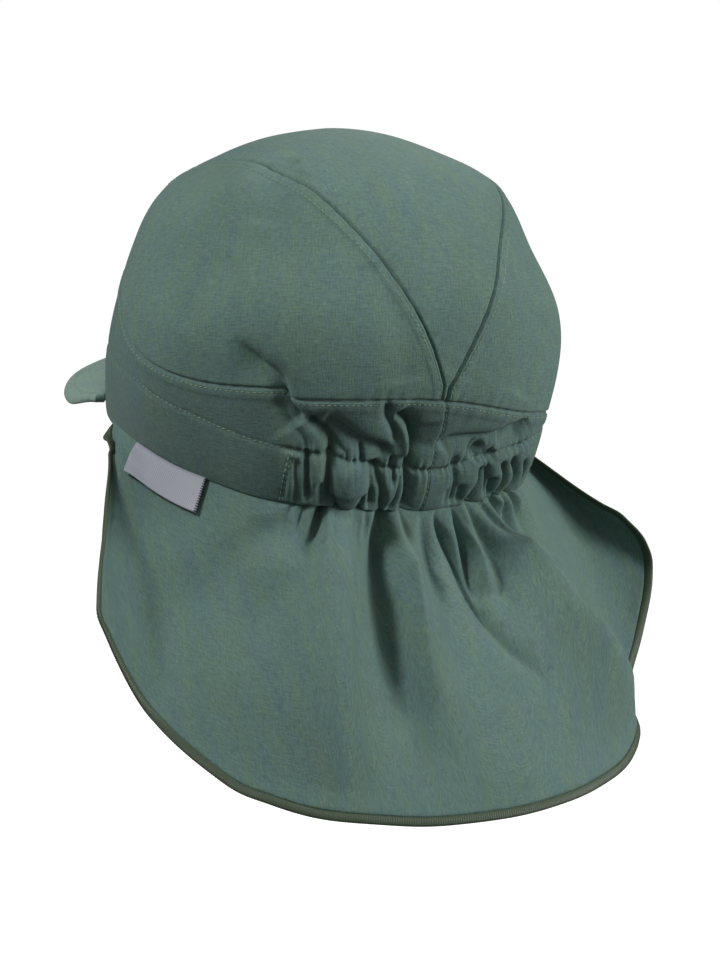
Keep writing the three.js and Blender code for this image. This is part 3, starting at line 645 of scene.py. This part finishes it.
# Band: one deep strip of the same cotton round the head, joined at the back. Its lower half is a
# casing, closed by a row of stitching, and elastic in the casing draws up the back in gathers.
casing_puff = 2.2 * mm
plain_casing_puff = 0.5 * mm
casing_groove = 0.3 * mm
elastic_groove = 0.8 * mm
casing_groove_width = 0.8 * mm
band_allowance_height = 0.28 * mm
join_groove = 0.45 * mm
first_gather = 132
last_gather = 228
elastic_half_arc = 46
elastic_fade = 5
turned_in = 1.1 * mm
band_join = 181.5
back_join_shares = [0.0, 0.3, 0.41, 0.57, 0.71, 0.79, 1.0]
back_join_bearings = [181.6, 181.8, 182.8, 182.6, 183.4, 183.0, 180.8]


def band_relief(bearing, share, points, radial):
    low = lower_seam(bearing)
    full = crown_seam(bearing) - low
    height = low + full * share
    in_casing = np.clip((height - low) / (casing_seam(bearing) - low), 0, 1)
    elastic = ease(0, elastic_fade, elastic_half_arc - np.abs(bearing - 180))
    relief = creased(points, radial)
    puff = elastic * casing_puff + (1 - elastic) * plain_casing_puff
    relief += puff * np.sin(np.pi * in_casing) ** 0.55
    tuck = np.abs(height - casing_seam(bearing))
    relief -= (casing_groove + elastic_groove * elastic) * bell(tuck, casing_groove_width)
    small = np.sin(bearing * 2.9 + 1.2 * np.sin(bearing * 0.37))
    small = small * (0.55 + 0.45 * np.sin(bearing * 0.53 + 1))
    relief += (0.12 + 0.5 * elastic) * mm * small * np.exp(-tuck / (2 * mm))
    below = (1 - share) * full
    relief += allowance(below, band_allowance_height, 3.2 * mm, 4.6 * mm)
    relief += around_puckers(points, np.abs(below))
    relief -= turned_in * ease(0.1 * mm, 0.6 * mm, -below)
    join = np.interp(share, back_join_shares, back_join_bearings)
    relief -= join_groove * bell(bearing - join, 0.5)
    return relief


gathered = np.arange(first_gather, last_gather + 0.01, 0.28)
plain = np.arange(229.2, 490.9, 1.6)
bearings = np.concatenate([gathered[gathered > band_join], plain, gathered[gathered < band_join] + 360])
bearings = np.concatenate([[band_join], bearings, [band_join + 360]])[None, :]
tucks = np.array([0.3, 0.7, 1.6, 3.2, 5.5]) * mm / band_height
shares = np.concatenate([close_to_edges(78, 1.25), 1 + tucks])[:, None]
points, radial = band_point(bearings, shares)
turned = np.mod(np.broadcast_to(bearings, points.shape[:-1]), 360)
relief = band_relief(turned, np.broadcast_to(shares, points.shape[:-1]), points, radial)
middle = points + radial * (relief - cloth_wall / 2)[..., None]
edge = np.minimum(shares, shares.max() - shares) * band_height
half = cloth_wall / 2 * rolled(edge, cloth_edge_radius)
band = sewn_cloth("band_cloth", middle, radial, half, bearings * math.radians(1) * crown_half_width / mm,
                  shares * band_height / mm, joined=True)
# Painted shade: the band is the crown's cotton, but its colours are set darker than the crown's to stand in
# for the shade on its downward-facing cloth.
band_tone_with_painted_shade = (0.077, 0.133, 0.120, 1)
band_blue_with_painted_shade = (0.064, 0.118, 0.126, 1)
band_olive_with_painted_shade = (0.086, 0.141, 0.100, 1)
band.data.materials.append(poplin("band_poplin_painted_shade", band_tone_with_painted_shade, band_blue_with_painted_shade, band_olive_with_painted_shade))
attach(band, "root")
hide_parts("head_band")

# Topstitching: rows of short stitches in thread of the cloth's colour, sewn by machine beside the
# crown's seams, under the crown seam, along the casing and down the join at the back.
stitch_length = 1.45 * mm
stitch_pitch = 2.0 * mm
stitch_thickness = 0.38 * mm
stitch_sides = 6
stitch_shares = (-0.5, -0.36, -0.12, 0.12, 0.36, 0.5)
# Stitching across the casing at the elastic's ends: bearing at its top, lean and share of the height.
elastic_ends = ((138.9, -4.4, 0.51), (138.2, -4.4, 0.51), (227.4, 2, 0.5))


def stitches(name, rows):
    """Each row is points and normals on the cloth. A stitch is a small rounded length of thread."""
    corners = []
    faces = []
    ring = np.linspace(0, 2 * np.pi, stitch_sides, endpoint=False)
    for points, normals in rows:
        steps = steps_along(points)
        count = int(steps[-1] // stitch_pitch)
        for k in range(count):
            middle = (k + 0.5) * steps[-1] / count
            ends = []
            for share in stitch_shares:
                at = middle + share * stitch_length
                point = np.array([np.interp(at, steps, points[:, axis]) for axis in range(3)])
                normal = np.array([np.interp(at, steps, normals[:, axis]) for axis in range(3)])
                ends.append((point, unit(normal), share))
            run = unit(ends[-1][0] - ends[0][0])
            first = len(corners)
            for point, normal, share in ends:
                thick = stitch_thickness / 2 * (0.25 if abs(share) == 0.5 else 1)
                lift = 0.16 * mm * math.cos(math.pi * share) - 0.12 * mm
                side = np.cross(run, normal)
                for turn in ring:
                    spot = point + normal * (lift + thick * math.sin(turn)) + side * thick * math.cos(turn)
                    corners.append(spot.tolist())
            last = len(corners) - stitch_sides
            for ring_start in range(first, last, stitch_sides):
                for j in range(stitch_sides):
                    a = ring_start + j
                    b = ring_start + (j + 1) % stitch_sides
                    faces.append((a, b, b + stitch_sides, a + stitch_sides))
            faces.append(tuple(first + j for j in reversed(range(stitch_sides))))
            faces.append(tuple(last + j for j in range(stitch_sides)))
    mesh = bpy.data.meshes.new(name)
    mesh.from_pydata(corners, [], faces)
    mesh.polygons.foreach_set("use_smooth", [True] * len(faces))
    return in_scene(name, mesh)


def thread(name, shade):
    """Twisted polyester thread with a soft gloss."""
    yarn = new_material(name)
    fibre = noise(yarn, node(yarn, "ShaderNodeTexCoord").outputs["Object"], 900.0, 2.0)
    dark, light = (tuple(part * level for part in shade[:3]) + (1,) for level in (0.8, 1.2))
    dyed = mixed(yarn, fibre, dark, light)
    rough = mapped(yarn, fibre, 0.0, 1.0, 0.5, 0.65)
    dressed(yarn, dyed, rough, fibre, strength=0.3, depth=0.1 * mm, sheen=0.05)
    return yarn


crown_rows = []
for side in (1, -1):
    line = panel_seams[side]
    outward = unit(line - form_middle)
    run = unit(np.gradient(line, axis=0))
    away = np.cross(outward, run) * stitch_margin
    away *= np.where(np.einsum("ij,j->i", away, np.array([side, 0, 0])) > 0, 1, -1)[:, None]
    points, radial = head_form(*facing(unit(line + away - form_middle)))
    relief = crown_relief(points, radial, side)
    above = points[:, 2] > crown_seam(facing(radial)[0]) + 1 * mm
    crown_rows.append(((points + radial * relief[:, None])[above], radial[above]))
sewing_thread = thread("sewing_thread", (0.155, 0.22, 0.155, 1))
crown_stitches = stitches("crown_topstitching", crown_rows)
around = np.arange(0.2, 360, 0.6)
full_height = crown_seam(around) - lower_seam(around)
up = np.linspace(0.02, 0.98, 60)
join_bearings = np.interp(up, back_join_shares, back_join_bearings)
band_rows = []
for row_bearings, row_shares in (
    (around, 1 - stitch_margin / full_height),
    (around, (casing_seam(around) - lower_seam(around)) / full_height),
    *((top + lean * (1 - up), up * high) for top, lean, high in elastic_ends),
    (join_bearings + 0.25, up),
):
    points, radial = band_point(row_bearings, row_shares)
    relief = band_relief(row_bearings, row_shares, points, radial)
    band_rows.append((points + radial * relief[:, None], radial))
band_stitches = stitches("band_topstitching", band_rows)
for piece in (crown_stitches, band_stitches):
    piece.data.materials.append(sewing_thread)
    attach(piece, "root")

# Peak: two layers of the cotton over a thin stiff core, turned out, edge-stitched and sewn under
# the band over the brow. It is short, curves down to both sides and has a soft rounded edge.
peak_half_arc = 55
peak_reach = 45 * mm
peak_end_width = 4.5 * mm
peak_droop = 4 * mm
peak_arch = 13 * mm
peak_camber = 4 * mm
peak_thickness = 3 * mm
peak_edge_radius = 1.6 * mm
peak_stitch_margin = 5 * mm
peak_groove = 0.3 * mm
seam_gap = 0.3 * mm


def peak_face(row, share, lift):
    end, _ = band_point(np.array([float(peak_half_arc)]), np.array([0.0]))
    end = end[0]
    half_span = end[0] + peak_end_width
    front = -(crown_front_reach + peak_reach)
    turn = np.pi * share
    droop = peak_droop * ease(0, 0.12, np.minimum(share, 1 - share))
    edge = np.stack([
        half_span * np.cos(turn),
        end[1] + (front - end[1]) * np.sin(turn),
        end[2] + seam_gap + peak_thickness / 2 - droop + peak_arch * np.sin(turn) ** 2,
    ], -1)
    bearing = peak_half_arc * (1 - 2 * share)
    height = lower_seam(bearing) + seam_gap + peak_thickness / 2
    root, radial = head_form(bearing, elevation_at(bearing, height))
    root = root + radial * 0.6 * mm
    place = root + (edge - root) * row[..., None]
    place[..., 2] += peak_camber * 4 * row * (1 - row) * np.sin(np.pi * share) + lift
    return place


row = (1 - (1 - np.linspace(0, 1, 46)) ** 1.5)[:, None]
share = close_to_edges(150, 1.4)[None, :]
row, share = np.broadcast_arrays(row, share)
middle = peak_face(row, share, 0)
reach_here = np.linalg.norm(middle[-1] - middle[0], axis=-1)[None, :]
edge = np.minimum((1 - row) * reach_here, row * reach_here + 0.5 * mm)
edge = np.minimum(edge, np.minimum(share, 1 - share) * 0.2)
half = peak_thickness / 2 * rolled(edge, peak_edge_radius)
groove = bell((1 - row) * reach_here - peak_stitch_margin, 0.6 * mm)
half -= peak_groove * groove * ease(0, 4 * mm, edge)
rise = np.array([0, 0, 1.0])
peak = sewn_cloth("peak_cloth", middle, rise, half, middle[..., 0] / mm, middle[..., 1] / mm)
# Painted light: the peak is the crown's cotton, but its colours are set much lighter than the crown's to
# stand in for the light falling on its upward-facing top.
peak_tone_with_painted_light = (0.165, 0.250, 0.216, 1)
peak_blue_with_painted_light = (0.152, 0.234, 0.222, 1)
peak_olive_with_painted_light = (0.178, 0.262, 0.198, 1)
peak.data.materials.append(poplin("peak_poplin_painted_light", peak_tone_with_painted_light, peak_blue_with_painted_light, peak_olive_with_painted_light))
peak_share = np.linspace(0.06, 0.94, 160)
peak_row = 1 - peak_stitch_margin / np.interp(peak_share, share[0], reach_here[0])
edge_line = peak_face(peak_row, peak_share, peak_thickness / 2 - peak_groove)
peak_stitches = stitches("peak_topstitching", [(edge_line, np.tile(rise, (160, 1)))])
peak_stitches.data.materials.append(sewing_thread)
for piece in (peak, peak_stitches):
    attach(piece, "root")
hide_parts("peak")

# Neck flap: a wide single layer of the cotton, sewn into the casing's lower seam from temple to
# temple. It flares from the gathers and hangs in soft folds to a long rounded lower edge.
flap_half_arc = 110
flap_half_spread = 117 * mm
flap_back_reach = 111 * mm
flap_drop = 104 * mm
flap_belly = 8 * mm
hem_width = 3 * mm
hem_gap = 0.5 * mm
seam_step_in = 0.6 * mm
flap_slack_pitch = 55 * mm
flap_slack_height = 0.7 * mm
fold_fullness = 1.5
flap_from = 180 - flap_half_arc
flap_to = 180 + flap_half_arc
hem_places = [-1, -0.955, -0.909, -0.809, -0.655, -0.527, -0.4, -0.273, -0.136, 0, 0.145, 0.273, 0.4,
    0.509, 0.618, 0.709, 0.782, 0.855, 0.927, 0.973, 1]
hem_across = [0.87, 0.985, 0.983, 0.863, 0.735, 0.65, 0.53, 0.385, 0.214, 0, -0.188, -0.342, -0.496,
    -0.624, -0.735, -0.812, -0.88, -0.949, -1.008, -0.974, -0.897]
hem_back = [0.2, 0.36, 0.378, 0.432, 0.62, 0.72, 0.8, 0.883, 0.955, 1, 1, 0.955, 0.865, 0.73, 0.55, 0.45,
    0.387, 0.342, 0.306, 0.306, 0.288]
hem_drop = [0.067, 0.288, 0.394, 0.673, 0.865, 0.923, 0.971, 0.99, 1, 0.99, 0.962, 0.933, 0.899, 0.846,
    0.788, 0.731, 0.663, 0.548, 0.365, 0.25, 0.154]
# Folds of the flap: how crisp, then rows of bearing, share of the way down, height in millimetres (a
# valley is negative), and width to the wearer's right and left of the line, in millimetres too.
flap_folds = [
    (2.0, [(169, 0.0, -4, 3.5, 4), (166.5, 0.07, -7.5, 3.8, 7), (162.6, 0.2, -8, 5.5, 11),
        (160.8, 0.34, -7, 6.5, 13), (160, 0.53, -4.5, 8, 14), (160.4, 0.73, -2, 9, 13),
        (160.8, 0.95, -0.5, 10, 14)]),
    (1.6, [(174.5, 0.0, 0.5, 3, 3), (173.1, 0.09, 2.5, 4, 3), (169.7, 0.28, 3.2, 6, 3.5),
        (168.2, 0.47, 2.6, 8, 5), (169.5, 0.69, 1.2, 10, 8)]),
    (2.0, [(153, 0.0, 0, 6, 6), (151.6, 0.08, 2.5, 8, 10), (149.6, 0.23, 4, 11, 12),
        (146.6, 0.41, 4, 14, 14), (142, 0.67, 2.5, 17, 17), (137.7, 0.93, 0.8, 20, 20)]),
    (2.0, [(137.5, 0.0, 0, 5, 5), (136.6, 0.05, -1.4, 5, 5), (119.6, 0.18, -2, 8, 8),
        (108.9, 0.3, -2.4, 11, 11), (95.4, 0.54, -1.6, 14, 14), (86.5, 0.84, 0, 16, 16)]),
    (2.0, [(143.5, 0.0, 0, 4, 4), (142.7, 0.08, -1.8, 5, 5), (135, 0.23, -2.4, 7, 7),
        (126.2, 0.36, -2, 9, 9), (116.6, 0.52, -0.6, 12, 12)]),
    (1.8, [(182.6, 0.0, -1, 2, 2), (181, 0.06, -3, 3, 3), (178.9, 0.12, -3.2, 3.5, 3.5),
        (177.2, 0.2, -2.6, 4, 4), (175.8, 0.3, -0.8, 5, 5)]),
    (1.3, [(190.5, 0.0, -1, 2, 2), (187.4, 0.06, -4.4, 2, 3), (188.5, 0.15, -4.4, 2, 4),
        (188.1, 0.23, -3.6, 2.2, 4), (189.3, 0.34, -3.2, 2.6, 4), (191.6, 0.43, -2.4, 3, 4),
        (195.1, 0.51, -1.6, 3, 5), (201.6, 0.62, -0.4, 4, 6)]),
    (1.6, [(197.3, 0.0, -1, 2, 2), (196.4, 0.05, -4, 2.2, 2.4), (194.7, 0.12, -5.6, 2.6, 2.6),
        (192, 0.23, -4.4, 3.4, 3), (191.6, 0.33, -0.6, 5, 4)]),
    (1.5, [(204, 0.0, -1, 1.6, 1.6), (206, 0.03, -3.4, 2, 1.8), (208.5, 0.08, -2.4, 2.2, 2),
        (211, 0.14, -0.4, 3, 3)]),
    (1.5, [(219, 0.0, -1, 2, 2), (221, 0.03, -3.2, 2.4, 2.4), (225, 0.08, -2.6, 3, 3),
        (231, 0.14, -0.4, 4, 4)]),
    (1.5, [(147, 0.0, -1.5, 2, 2), (145, 0.04, -3, 2.2, 2.4), (141, 0.1, -2, 3, 3),
        (137, 0.16, -0.3, 4, 4)]),
    (1.5, [(158, 0.0, -1.5, 1.6, 1.6), (157, 0.05, -2.6, 2, 2.4), (155, 0.13, -1.4, 3, 3),
        (153, 0.22, -0.2, 4, 4)]),
    (1.4, [(199, 0.08, 0.4, 2, 2), (197.4, 0.13, 2.6, 2.4, 2.6), (195.4, 0.21, 2.6, 2.8, 3),
        (195.1, 0.29, 0.4, 3, 4)]),
    (1.8, [(203.5, 0.0, -1, 2.5, 2.5), (201.6, 0.17, -2.8, 4, 4), (199.3, 0.29, -2.8, 4.5, 4.5),
        (195.8, 0.4, -0.6, 5, 5)]),
    (1.4, [(208.5, 0.0, 0.6, 3, 3), (210.1, 0.08, 4, 4, 4.5), (213.1, 0.26, 6.5, 5, 8),
        (216.2, 0.43, 7.5, 5.5, 12), (222.4, 0.57, 7.5, 6.5, 15), (229.3, 0.72, 6, 8, 16),
        (240, 0.88, 3, 10, 16), (248.5, 0.99, 1, 12, 16)]),
    (2.0, [(211.0, 0.0, -1, 3, 3), (213.0, 0.04, -3.4, 4, 4), (217.5, 0.1, -4.6, 6, 4),
        (223.5, 0.16, -4.4, 7, 5), (231, 0.24, -2.6, 9, 7), (240, 0.34, -0.4, 12, 9)]),
    (2.0, [(216, 0.24, -1, 6, 4), (222, 0.4, -4.5, 12, 6), (229, 0.53, -5, 14, 8),
        (238, 0.7, -3.4, 16, 9), (250, 0.9, -0.6, 18, 12)]),
]
flap_folds = [{"crisp": crisp, "rows": rows} for crisp, rows in flap_folds]


def flap_outline(bearing):
    place = (np.asarray(bearing, float) - 180) / flap_half_arc
    return np.stack([
        flap_half_spread * through(hem_places, hem_across, place),
        flap_back_reach * through(hem_places, hem_back, place),
        -flap_drop * through(hem_places, hem_drop, place),
    ], -1)


def sign_toward(normals, outward):
    """1 for a grid of normals that points the way of outward, and -1 for one that points back."""
    return 1 if np.einsum("ijk,ijk->ij", normals, outward).mean() >= 0 else -1


def flap_seam(bearing):
    return head_form(bearing, elevation_at(bearing, lower_seam(bearing) - seam_gap / 2))


def flap_edge(bearing):
    """Edge of the flap's cloth, inside the edging."""
    edge = flap_outline(bearing)
    behind = flap_outline(np.minimum(bearing + 1, flap_to))
    run = unit(behind - flap_outline(np.maximum(bearing - 1, flap_from)))
    inward = flap_seam(bearing)[0] - edge
    inward = unit(inward - run * np.einsum("...i,...i->...", inward, run)[..., None])
    return edge + inward * (hem_width + hem_gap)


def flap_form(bearing, share):
    """The flap without its folds, for bearings in a row and shares down a column."""
    seam = flap_seam(bearing)[0]
    edge = flap_edge(bearing)
    out = unit((edge - seam) * np.array([1, 1, 0]))
    middle = np.sin(np.pi * (bearing - flap_from) / (flap_to - flap_from))
    belly = flap_belly * np.maximum(middle, 0) * 4 * share * (1 - share) ** 1.5
    return seam + (edge - seam) * share[..., None] + out * belly[..., None]


for crease in creases:
    end_bearing, end_share = crease["line"][-1]
    if end_share < 0.08:
        lean = (end_bearing - 180) * 0.06
        depth = -crease["depth"]
        flap_folds.append({"crisp": 1.6, "rows": [
            (end_bearing, 0.0, 0.9 * depth, 1.2, 1.2), (end_bearing + lean, 0.04, 0.8 * depth, 1.6, 1.6),
            (end_bearing + 2 * lean, 0.1, 0.4 * depth, 2.4, 2.4), (end_bearing + 3 * lean, 0.18, 0, 3.5, 3.5),
        ]})
for fold in flap_folds:
    columns = [np.array(column, float) for column in zip(*fold["rows"])]
    places = np.linspace(0, 1, len(columns[0]))
    steps = np.linspace(0, 1, 30)
    fold["places"] = places
    fold["columns"] = columns
    path_share = np.clip(through(places, columns[1], steps), 0, 1)
    fold["path"] = flap_form(through(places, columns[0], steps), path_share)


def flap_relief(share, points, normals):
    """Height of the folds, which the band's creases pass into below the seam."""
    relief = creased(points, normals) * (1 - ease(0.02, 0.22, share))
    relief -= seam_step_in * (1 - ease(0, 0.02, share))
    for fold in flap_folds:
        distance, along = beside(points, normals, fold["path"])
        height, right, left = (through(fold["places"], column, along) for column in fold["columns"][2:])
        width = np.where(distance > 0, right, left) * mm
        relief = relief + fold_fullness * height * mm * np.exp(-np.abs(distance / width) ** fold["crisp"])
    quiet = ease(0, 0.12, share) * (1 - 0.6 * ease(0.9, 1, share))
    return relief + quiet * unevenness(points, 17, flap_slack_pitch, flap_slack_height)


wing = np.linspace(0, 1, 78)[:-1] ** 1.45
flap_bearings = np.concatenate([
    flap_from + (first_gather - flap_from) * wing,
    np.linspace(first_gather, last_gather, 236),
    (flap_to - (flap_to - last_gather) * wing)[::-1],
])
flap_shares = np.linspace(0, 1, 112) ** 1.12
bearing, share = np.meshgrid(flap_bearings, flap_shares)
form = flap_form(bearing, share)
form_normal = normals_of(form)
form_normal *= sign_toward(form_normal, flap_seam(bearing[:1])[1])
radial = flap_seam(bearing)[1]
blend = ease(0, 0.2, share)[..., None]
raised = unit(radial * (1 - blend) + form_normal * blend)
relief = flap_relief(share, form, form_normal)
outer_face = form + raised * relief[..., None]
tucked_rows = []
for rise in (3.2, 1.7, 0.9, 0.4):
    height = lower_seam(flap_bearings) + rise * mm
    points, radial = head_form(flap_bearings, elevation_at(flap_bearings, height))
    relief = creased(points, radial) - turned_in
    tucked_rows.append(points + radial * relief[:, None])
outer_face = np.concatenate([np.stack(tucked_rows), outer_face])
tucked = len(tucked_rows)


def with_tucked(grid):
    """The grid with its first row repeated for the rows that go up inside the band."""
    return np.concatenate([np.repeat(grid[:1], tucked, 0), grid])


flap_normal = normals_of(outer_face)
flap_normal *= sign_toward(flap_normal[tucked:], form_normal)
raised = with_tucked(raised)
from_ends = np.minimum(flap_bearings - flap_from, flap_to - flap_bearings)
corner = ((1 - ease(8, 30, from_ends)) * (1 - ease(0.1, 0.35, with_tucked(share))))[..., None]
flap_normal = unit(flap_normal * (1 - corner) + raised * corner)
flap_middle = outer_face - flap_normal * cloth_wall / 2
down_length = np.linalg.norm(np.diff(outer_face, axis=0), axis=-1)
down_length = np.concatenate([np.zeros((1, len(flap_bearings))), np.cumsum(down_length, axis=0)])
from_edge = np.minimum(down_length, down_length[-1:] - down_length)
for column in (0, -1):
    from_edge = np.minimum(from_edge, np.linalg.norm(outer_face - outer_face[:, [column]], axis=-1))
half = cloth_wall / 2 * rolled(from_edge, cloth_edge_radius)
flap_thread_across = np.cumsum(np.linalg.norm(np.diff(form, axis=1), axis=-1), axis=1)
flap_thread_across = np.concatenate([np.zeros((len(flap_shares), 1)), flap_thread_across], axis=1)
flap_thread_across -= flap_thread_across[:, [len(flap_bearings) // 2]]
flap = sewn_cloth("flap_cloth", flap_middle, flap_normal, half, with_tucked(flap_thread_across) / mm,
                  down_length / mm)
flap_shade = (0.090, 0.157, 0.138, 1)
flap_blue = (0.076, 0.140, 0.150, 1)
flap_olive = (0.104, 0.169, 0.116, 1)
flap.data.materials.append(poplin("flap_poplin", flap_shade, flap_blue, flap_olive))
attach(flap, "root")
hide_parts("neck_flap")

# Overlocked edging: dense olive thread that wraps the flap's raw edge from the seam in front of
# one ear, along the bottom, to the other. It is about 3 mm wide, with a thread every 0.8 mm.
edging_thread_pitch = 0.8 * mm
edging_half_width = 1.65 * mm
edging_half_thickness = 0.7 * mm
edging_ridge = 0.22 * mm
edging_overlap = 0.5 * mm
edging_sides = 12
first_row = tucked + 4


def border_of(grid):
    """The flap's free border: down its front edge, along the bottom and up the other front edge."""
    return np.concatenate([grid[first_row:-1, 0], grid[-1], grid[first_row:-1, -1][::-1]])


bare = with_tucked(form)
outward = np.zeros(bare.shape)
outward[:, 0] = unit(bare[:, 0] - bare[:, 12])
outward[:, -1] = unit(bare[:, -1] - bare[:, -13])
outward[-1] = unit(bare[-1] - bare[-4])
border_points = border_of(flap_middle)
border_steps = steps_along(border_points)
at = np.arange(0, border_steps[-1], edging_thread_pitch / 4)


def along_border(columns, reach):
    """Evenly spaced along the border, as a running mean, so that the edging turns smoothly."""
    even = np.stack([np.interp(at, border_steps, columns[:, axis]) for axis in range(3)], -1)
    padded = np.concatenate([np.repeat(even[:1], reach, 0), even, np.repeat(even[-1:], reach, 0)])
    kernel = np.hanning(2 * reach + 1)
    kernel /= kernel.sum()
    return np.stack([np.convolve(padded[:, axis], kernel, "valid") for axis in range(3)], -1)


line = along_border(border_points, 12)
run = unit(np.gradient(line, axis=0))
normal = along_border(border_of(raised), 130)
normal = unit(normal - run * np.einsum("ij,ij->i", normal, run)[:, None])
out = np.cross(run, normal)
out *= np.sign(np.einsum("ij,ij->i", out, along_border(border_of(outward), 40)).mean())
centre = line + out * (edging_half_width - edging_overlap)
narrow = 0.35 + 0.65 * ease(0, 3 * mm, np.minimum(at, at[-1] - at))[:, None]
turns = np.linspace(0, 2 * np.pi, edging_sides, endpoint=False)
corners = []
for turn in turns:
    slant = 0.25 * edging_thread_pitch * math.cos(turn)
    ridge = np.abs(np.sin(np.pi * (at + slant) / edging_thread_pitch)) ** 0.7
    wide = edging_half_width * math.copysign(abs(math.cos(turn)) ** 0.7, math.cos(turn))
    thick = (edging_half_thickness - edging_ridge * (1 - ridge)) * math.sin(turn)
    wide = wide * (1 - 0.06 * (1 - ridge))
    corners.append(centre + (out * wide[:, None] + normal * thick[:, None]) * narrow)
rings = np.stack(corners, 1)
ring_count, turn_count = rings.shape[:2]
index = np.arange(ring_count * turn_count).reshape(ring_count, turn_count)
shifted = np.roll(index, -1, axis=1)
faces = np.stack([index[:-1], shifted[:-1], shifted[1:], index[1:]], -1).reshape(-1, 4).tolist()
faces += [index[0][::-1].tolist(), index[-1].tolist()]
edging_mesh = bpy.data.meshes.new("flap_edging")
edging_mesh.from_pydata(rings.reshape(-1, 3).tolist(), [], faces)
turned_outward(edging_mesh)
edging = in_scene("flap_edging", edging_mesh)
edging_mesh.materials.append(thread("overlock_thread", (0.028, 0.049, 0.022, 1)))
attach(edging, "root")
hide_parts("flap_hem")

# Side label: a folded tab of smooth grey tape with a fine twill, caught in the band's lower seam
# over the wearer's left ear. It is left bare, with a dark woven edge at its rear end.
label_bearing = 85
label_length = 34.5 * mm
label_drop = 13 * mm
label_slant = 7 * mm
label_thickness = 0.9 * mm
label_stands_off = 1.1 * mm
label_curl = 0.8 * mm
label_wave = 0.5 * mm
dark_edge_from = 33.5
seam_places = flap_seam(np.array([label_bearing, label_bearing + 1.0]))[0]
seam_step = np.linalg.norm(seam_places[1] - seam_places[0])
label_arc = label_length / seam_step
down = close_to_edges(26, 1.6)[:, None]
across = close_to_edges(60, 1.6)[None, :]
label_bearings = label_bearing + across * label_arc - down * label_slant / seam_step
top = flap_form(label_bearings, np.zeros(label_bearings.shape))
bottom = flap_form(label_bearings, np.ones(label_bearings.shape))
label_shares = (seam_gap + down * label_drop) / (top - bottom)[..., 2]
spot = flap_form(label_bearings, label_shares)
label_normal = normals_of(spot)
label_normal *= sign_toward(label_normal, flap_seam(label_bearings)[1])
relief = flap_relief(label_shares, spot, label_normal)
curl = label_curl * down**2 + label_wave * np.sin(across * 5.5 + 0.6) * down
spot = spot + label_normal * (relief + label_stands_off + curl)[..., None]
edge = np.minimum(np.minimum(down, 1 - down) * label_drop, np.minimum(across, 1 - across) * label_length)
half = label_thickness / 2 * rolled(edge, cloth_edge_radius)
label = sewn_cloth("label_tab", spot, label_normal, half, across * label_length / mm, down * label_drop / mm)
tape = new_material("label_tape")
place = node(tape, "ShaderNodeUVMap", uv_map="cloth").outputs["UV"]
leaning = {"Vector": drawn_out(tape, place, 0.9, (1, 1, 1)), "Scale": 0.42, "Distortion": 0.8, "Detail": 1.0}
twill = node(tape, "ShaderNodeTexWave", leaning).outputs["Fac"]
grain = noise(tape, place, 1.8, 3.0)
ribbed = worked_out(tape, "MULTIPLY", twill, grain)
grey = mixed(tape, ribbed, (0.225, 0.237, 0.275, 1), (0.34, 0.355, 0.40, 1))
from_front = node(tape, "ShaderNodeSeparateXYZ", {0: place}).outputs[0]
stripe = worked_out(tape, "GREATER_THAN", from_front, dark_edge_from)
selvedge = node(tape, "ShaderNodeTexWave", {"Vector": place, "Scale": 0.35}, bands_direction="Y")
dots = mapped(tape, selvedge.outputs["Fac"], 0.75, 0.95)
woven_edge = mixed(tape, dots, (0.03, 0.034, 0.045, 1), (0.36, 0.38, 0.42, 1))
rough = mapped(tape, grain, 0.0, 1.0, 0.55, 0.7)
dressed(tape, mixed(tape, stripe, grey, woven_edge), rough, ribbed, strength=0.3, depth=0.2 * mm, sheen=0.1)
label.data.materials.append(tape)
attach(label, "root")
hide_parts("side_label")

# Studio: a plain pale floor well below the cap, a white room all round, and two broad soft lamps,
# the stronger above and in front of the cap on the left of the picture.
floor_height = -0.30
floor_half_size = 40
floor_mesh = bpy.data.meshes.new("studio_floor")
floor_corners = [(x * floor_half_size, y * floor_half_size, floor_height)
                 for x, y in ((-1, -1), (1, -1), (1, 1), (-1, 1))]
floor_mesh.from_pydata(floor_corners, [], [(0, 1, 2, 3)])
floor = in_scene("studio_floor", floor_mesh)
floor_paint = new_material("pale_floor")
paint = floor_paint.node_tree.nodes["Principled BSDF"]
paint.inputs["Base Color"].default_value = (0.93, 0.93, 0.93, 1)
paint.inputs["Roughness"].default_value = 0.9
paint.inputs["Emission Color"].default_value = (1, 1, 1, 1)
paint.inputs["Emission Strength"].default_value = 0.7
floor_mesh.materials.append(floor_paint)
floor.visible_diffuse = False
floor.visible_glossy = False
room = bpy.data.worlds.new("white_room")
room.use_nodes = True
backdrop = room.node_tree.nodes["Background"]
ray = node(room, "ShaderNodeLightPath").outputs["Is Camera Ray"]
direction = node(room, "ShaderNodeTexCoord").outputs["Generated"]
height = node(room, "ShaderNodeSeparateXYZ", {0: direction}).outputs[2]
glow = worked_out(room, "MAXIMUM", mapped(room, height, -0.6, 0.7, 0.13, 0.40), ray)
backdrop.inputs["Color"].default_value = (1, 1, 1, 1)
room.node_tree.links.new(glow, backdrop.inputs["Strength"])
bpy.context.scene.world = room
bpy.context.scene.view_settings.view_transform = "Standard"
lamps = [
    {"name": "key_softbox", "to_left": 0.85, "up": 0.85, "near": 0.6, "size": 0.25, "watts": 13.5},
    {"name": "fill_softbox", "to_left": -1.1, "up": 0.4, "near": 0.3, "size": 0.5, "watts": 13},
]
picture_right = Vector((math.cos(camera_bearing), math.sin(camera_bearing), 0))
for lamp in lamps:
    light_data = bpy.data.lights.new(lamp["name"], "AREA")
    light_data.size = lamp["size"]
    light_data.energy = lamp["watts"]
    light = in_scene(lamp["name"], light_data)
    light.location = toward_camera * lamp["near"] - picture_right * lamp["to_left"]
    light.location.z += lamp["up"]
    light.rotation_mode = "QUATERNION"
    light.rotation_quaternion = light.location.to_track_quat("Z", "Y")
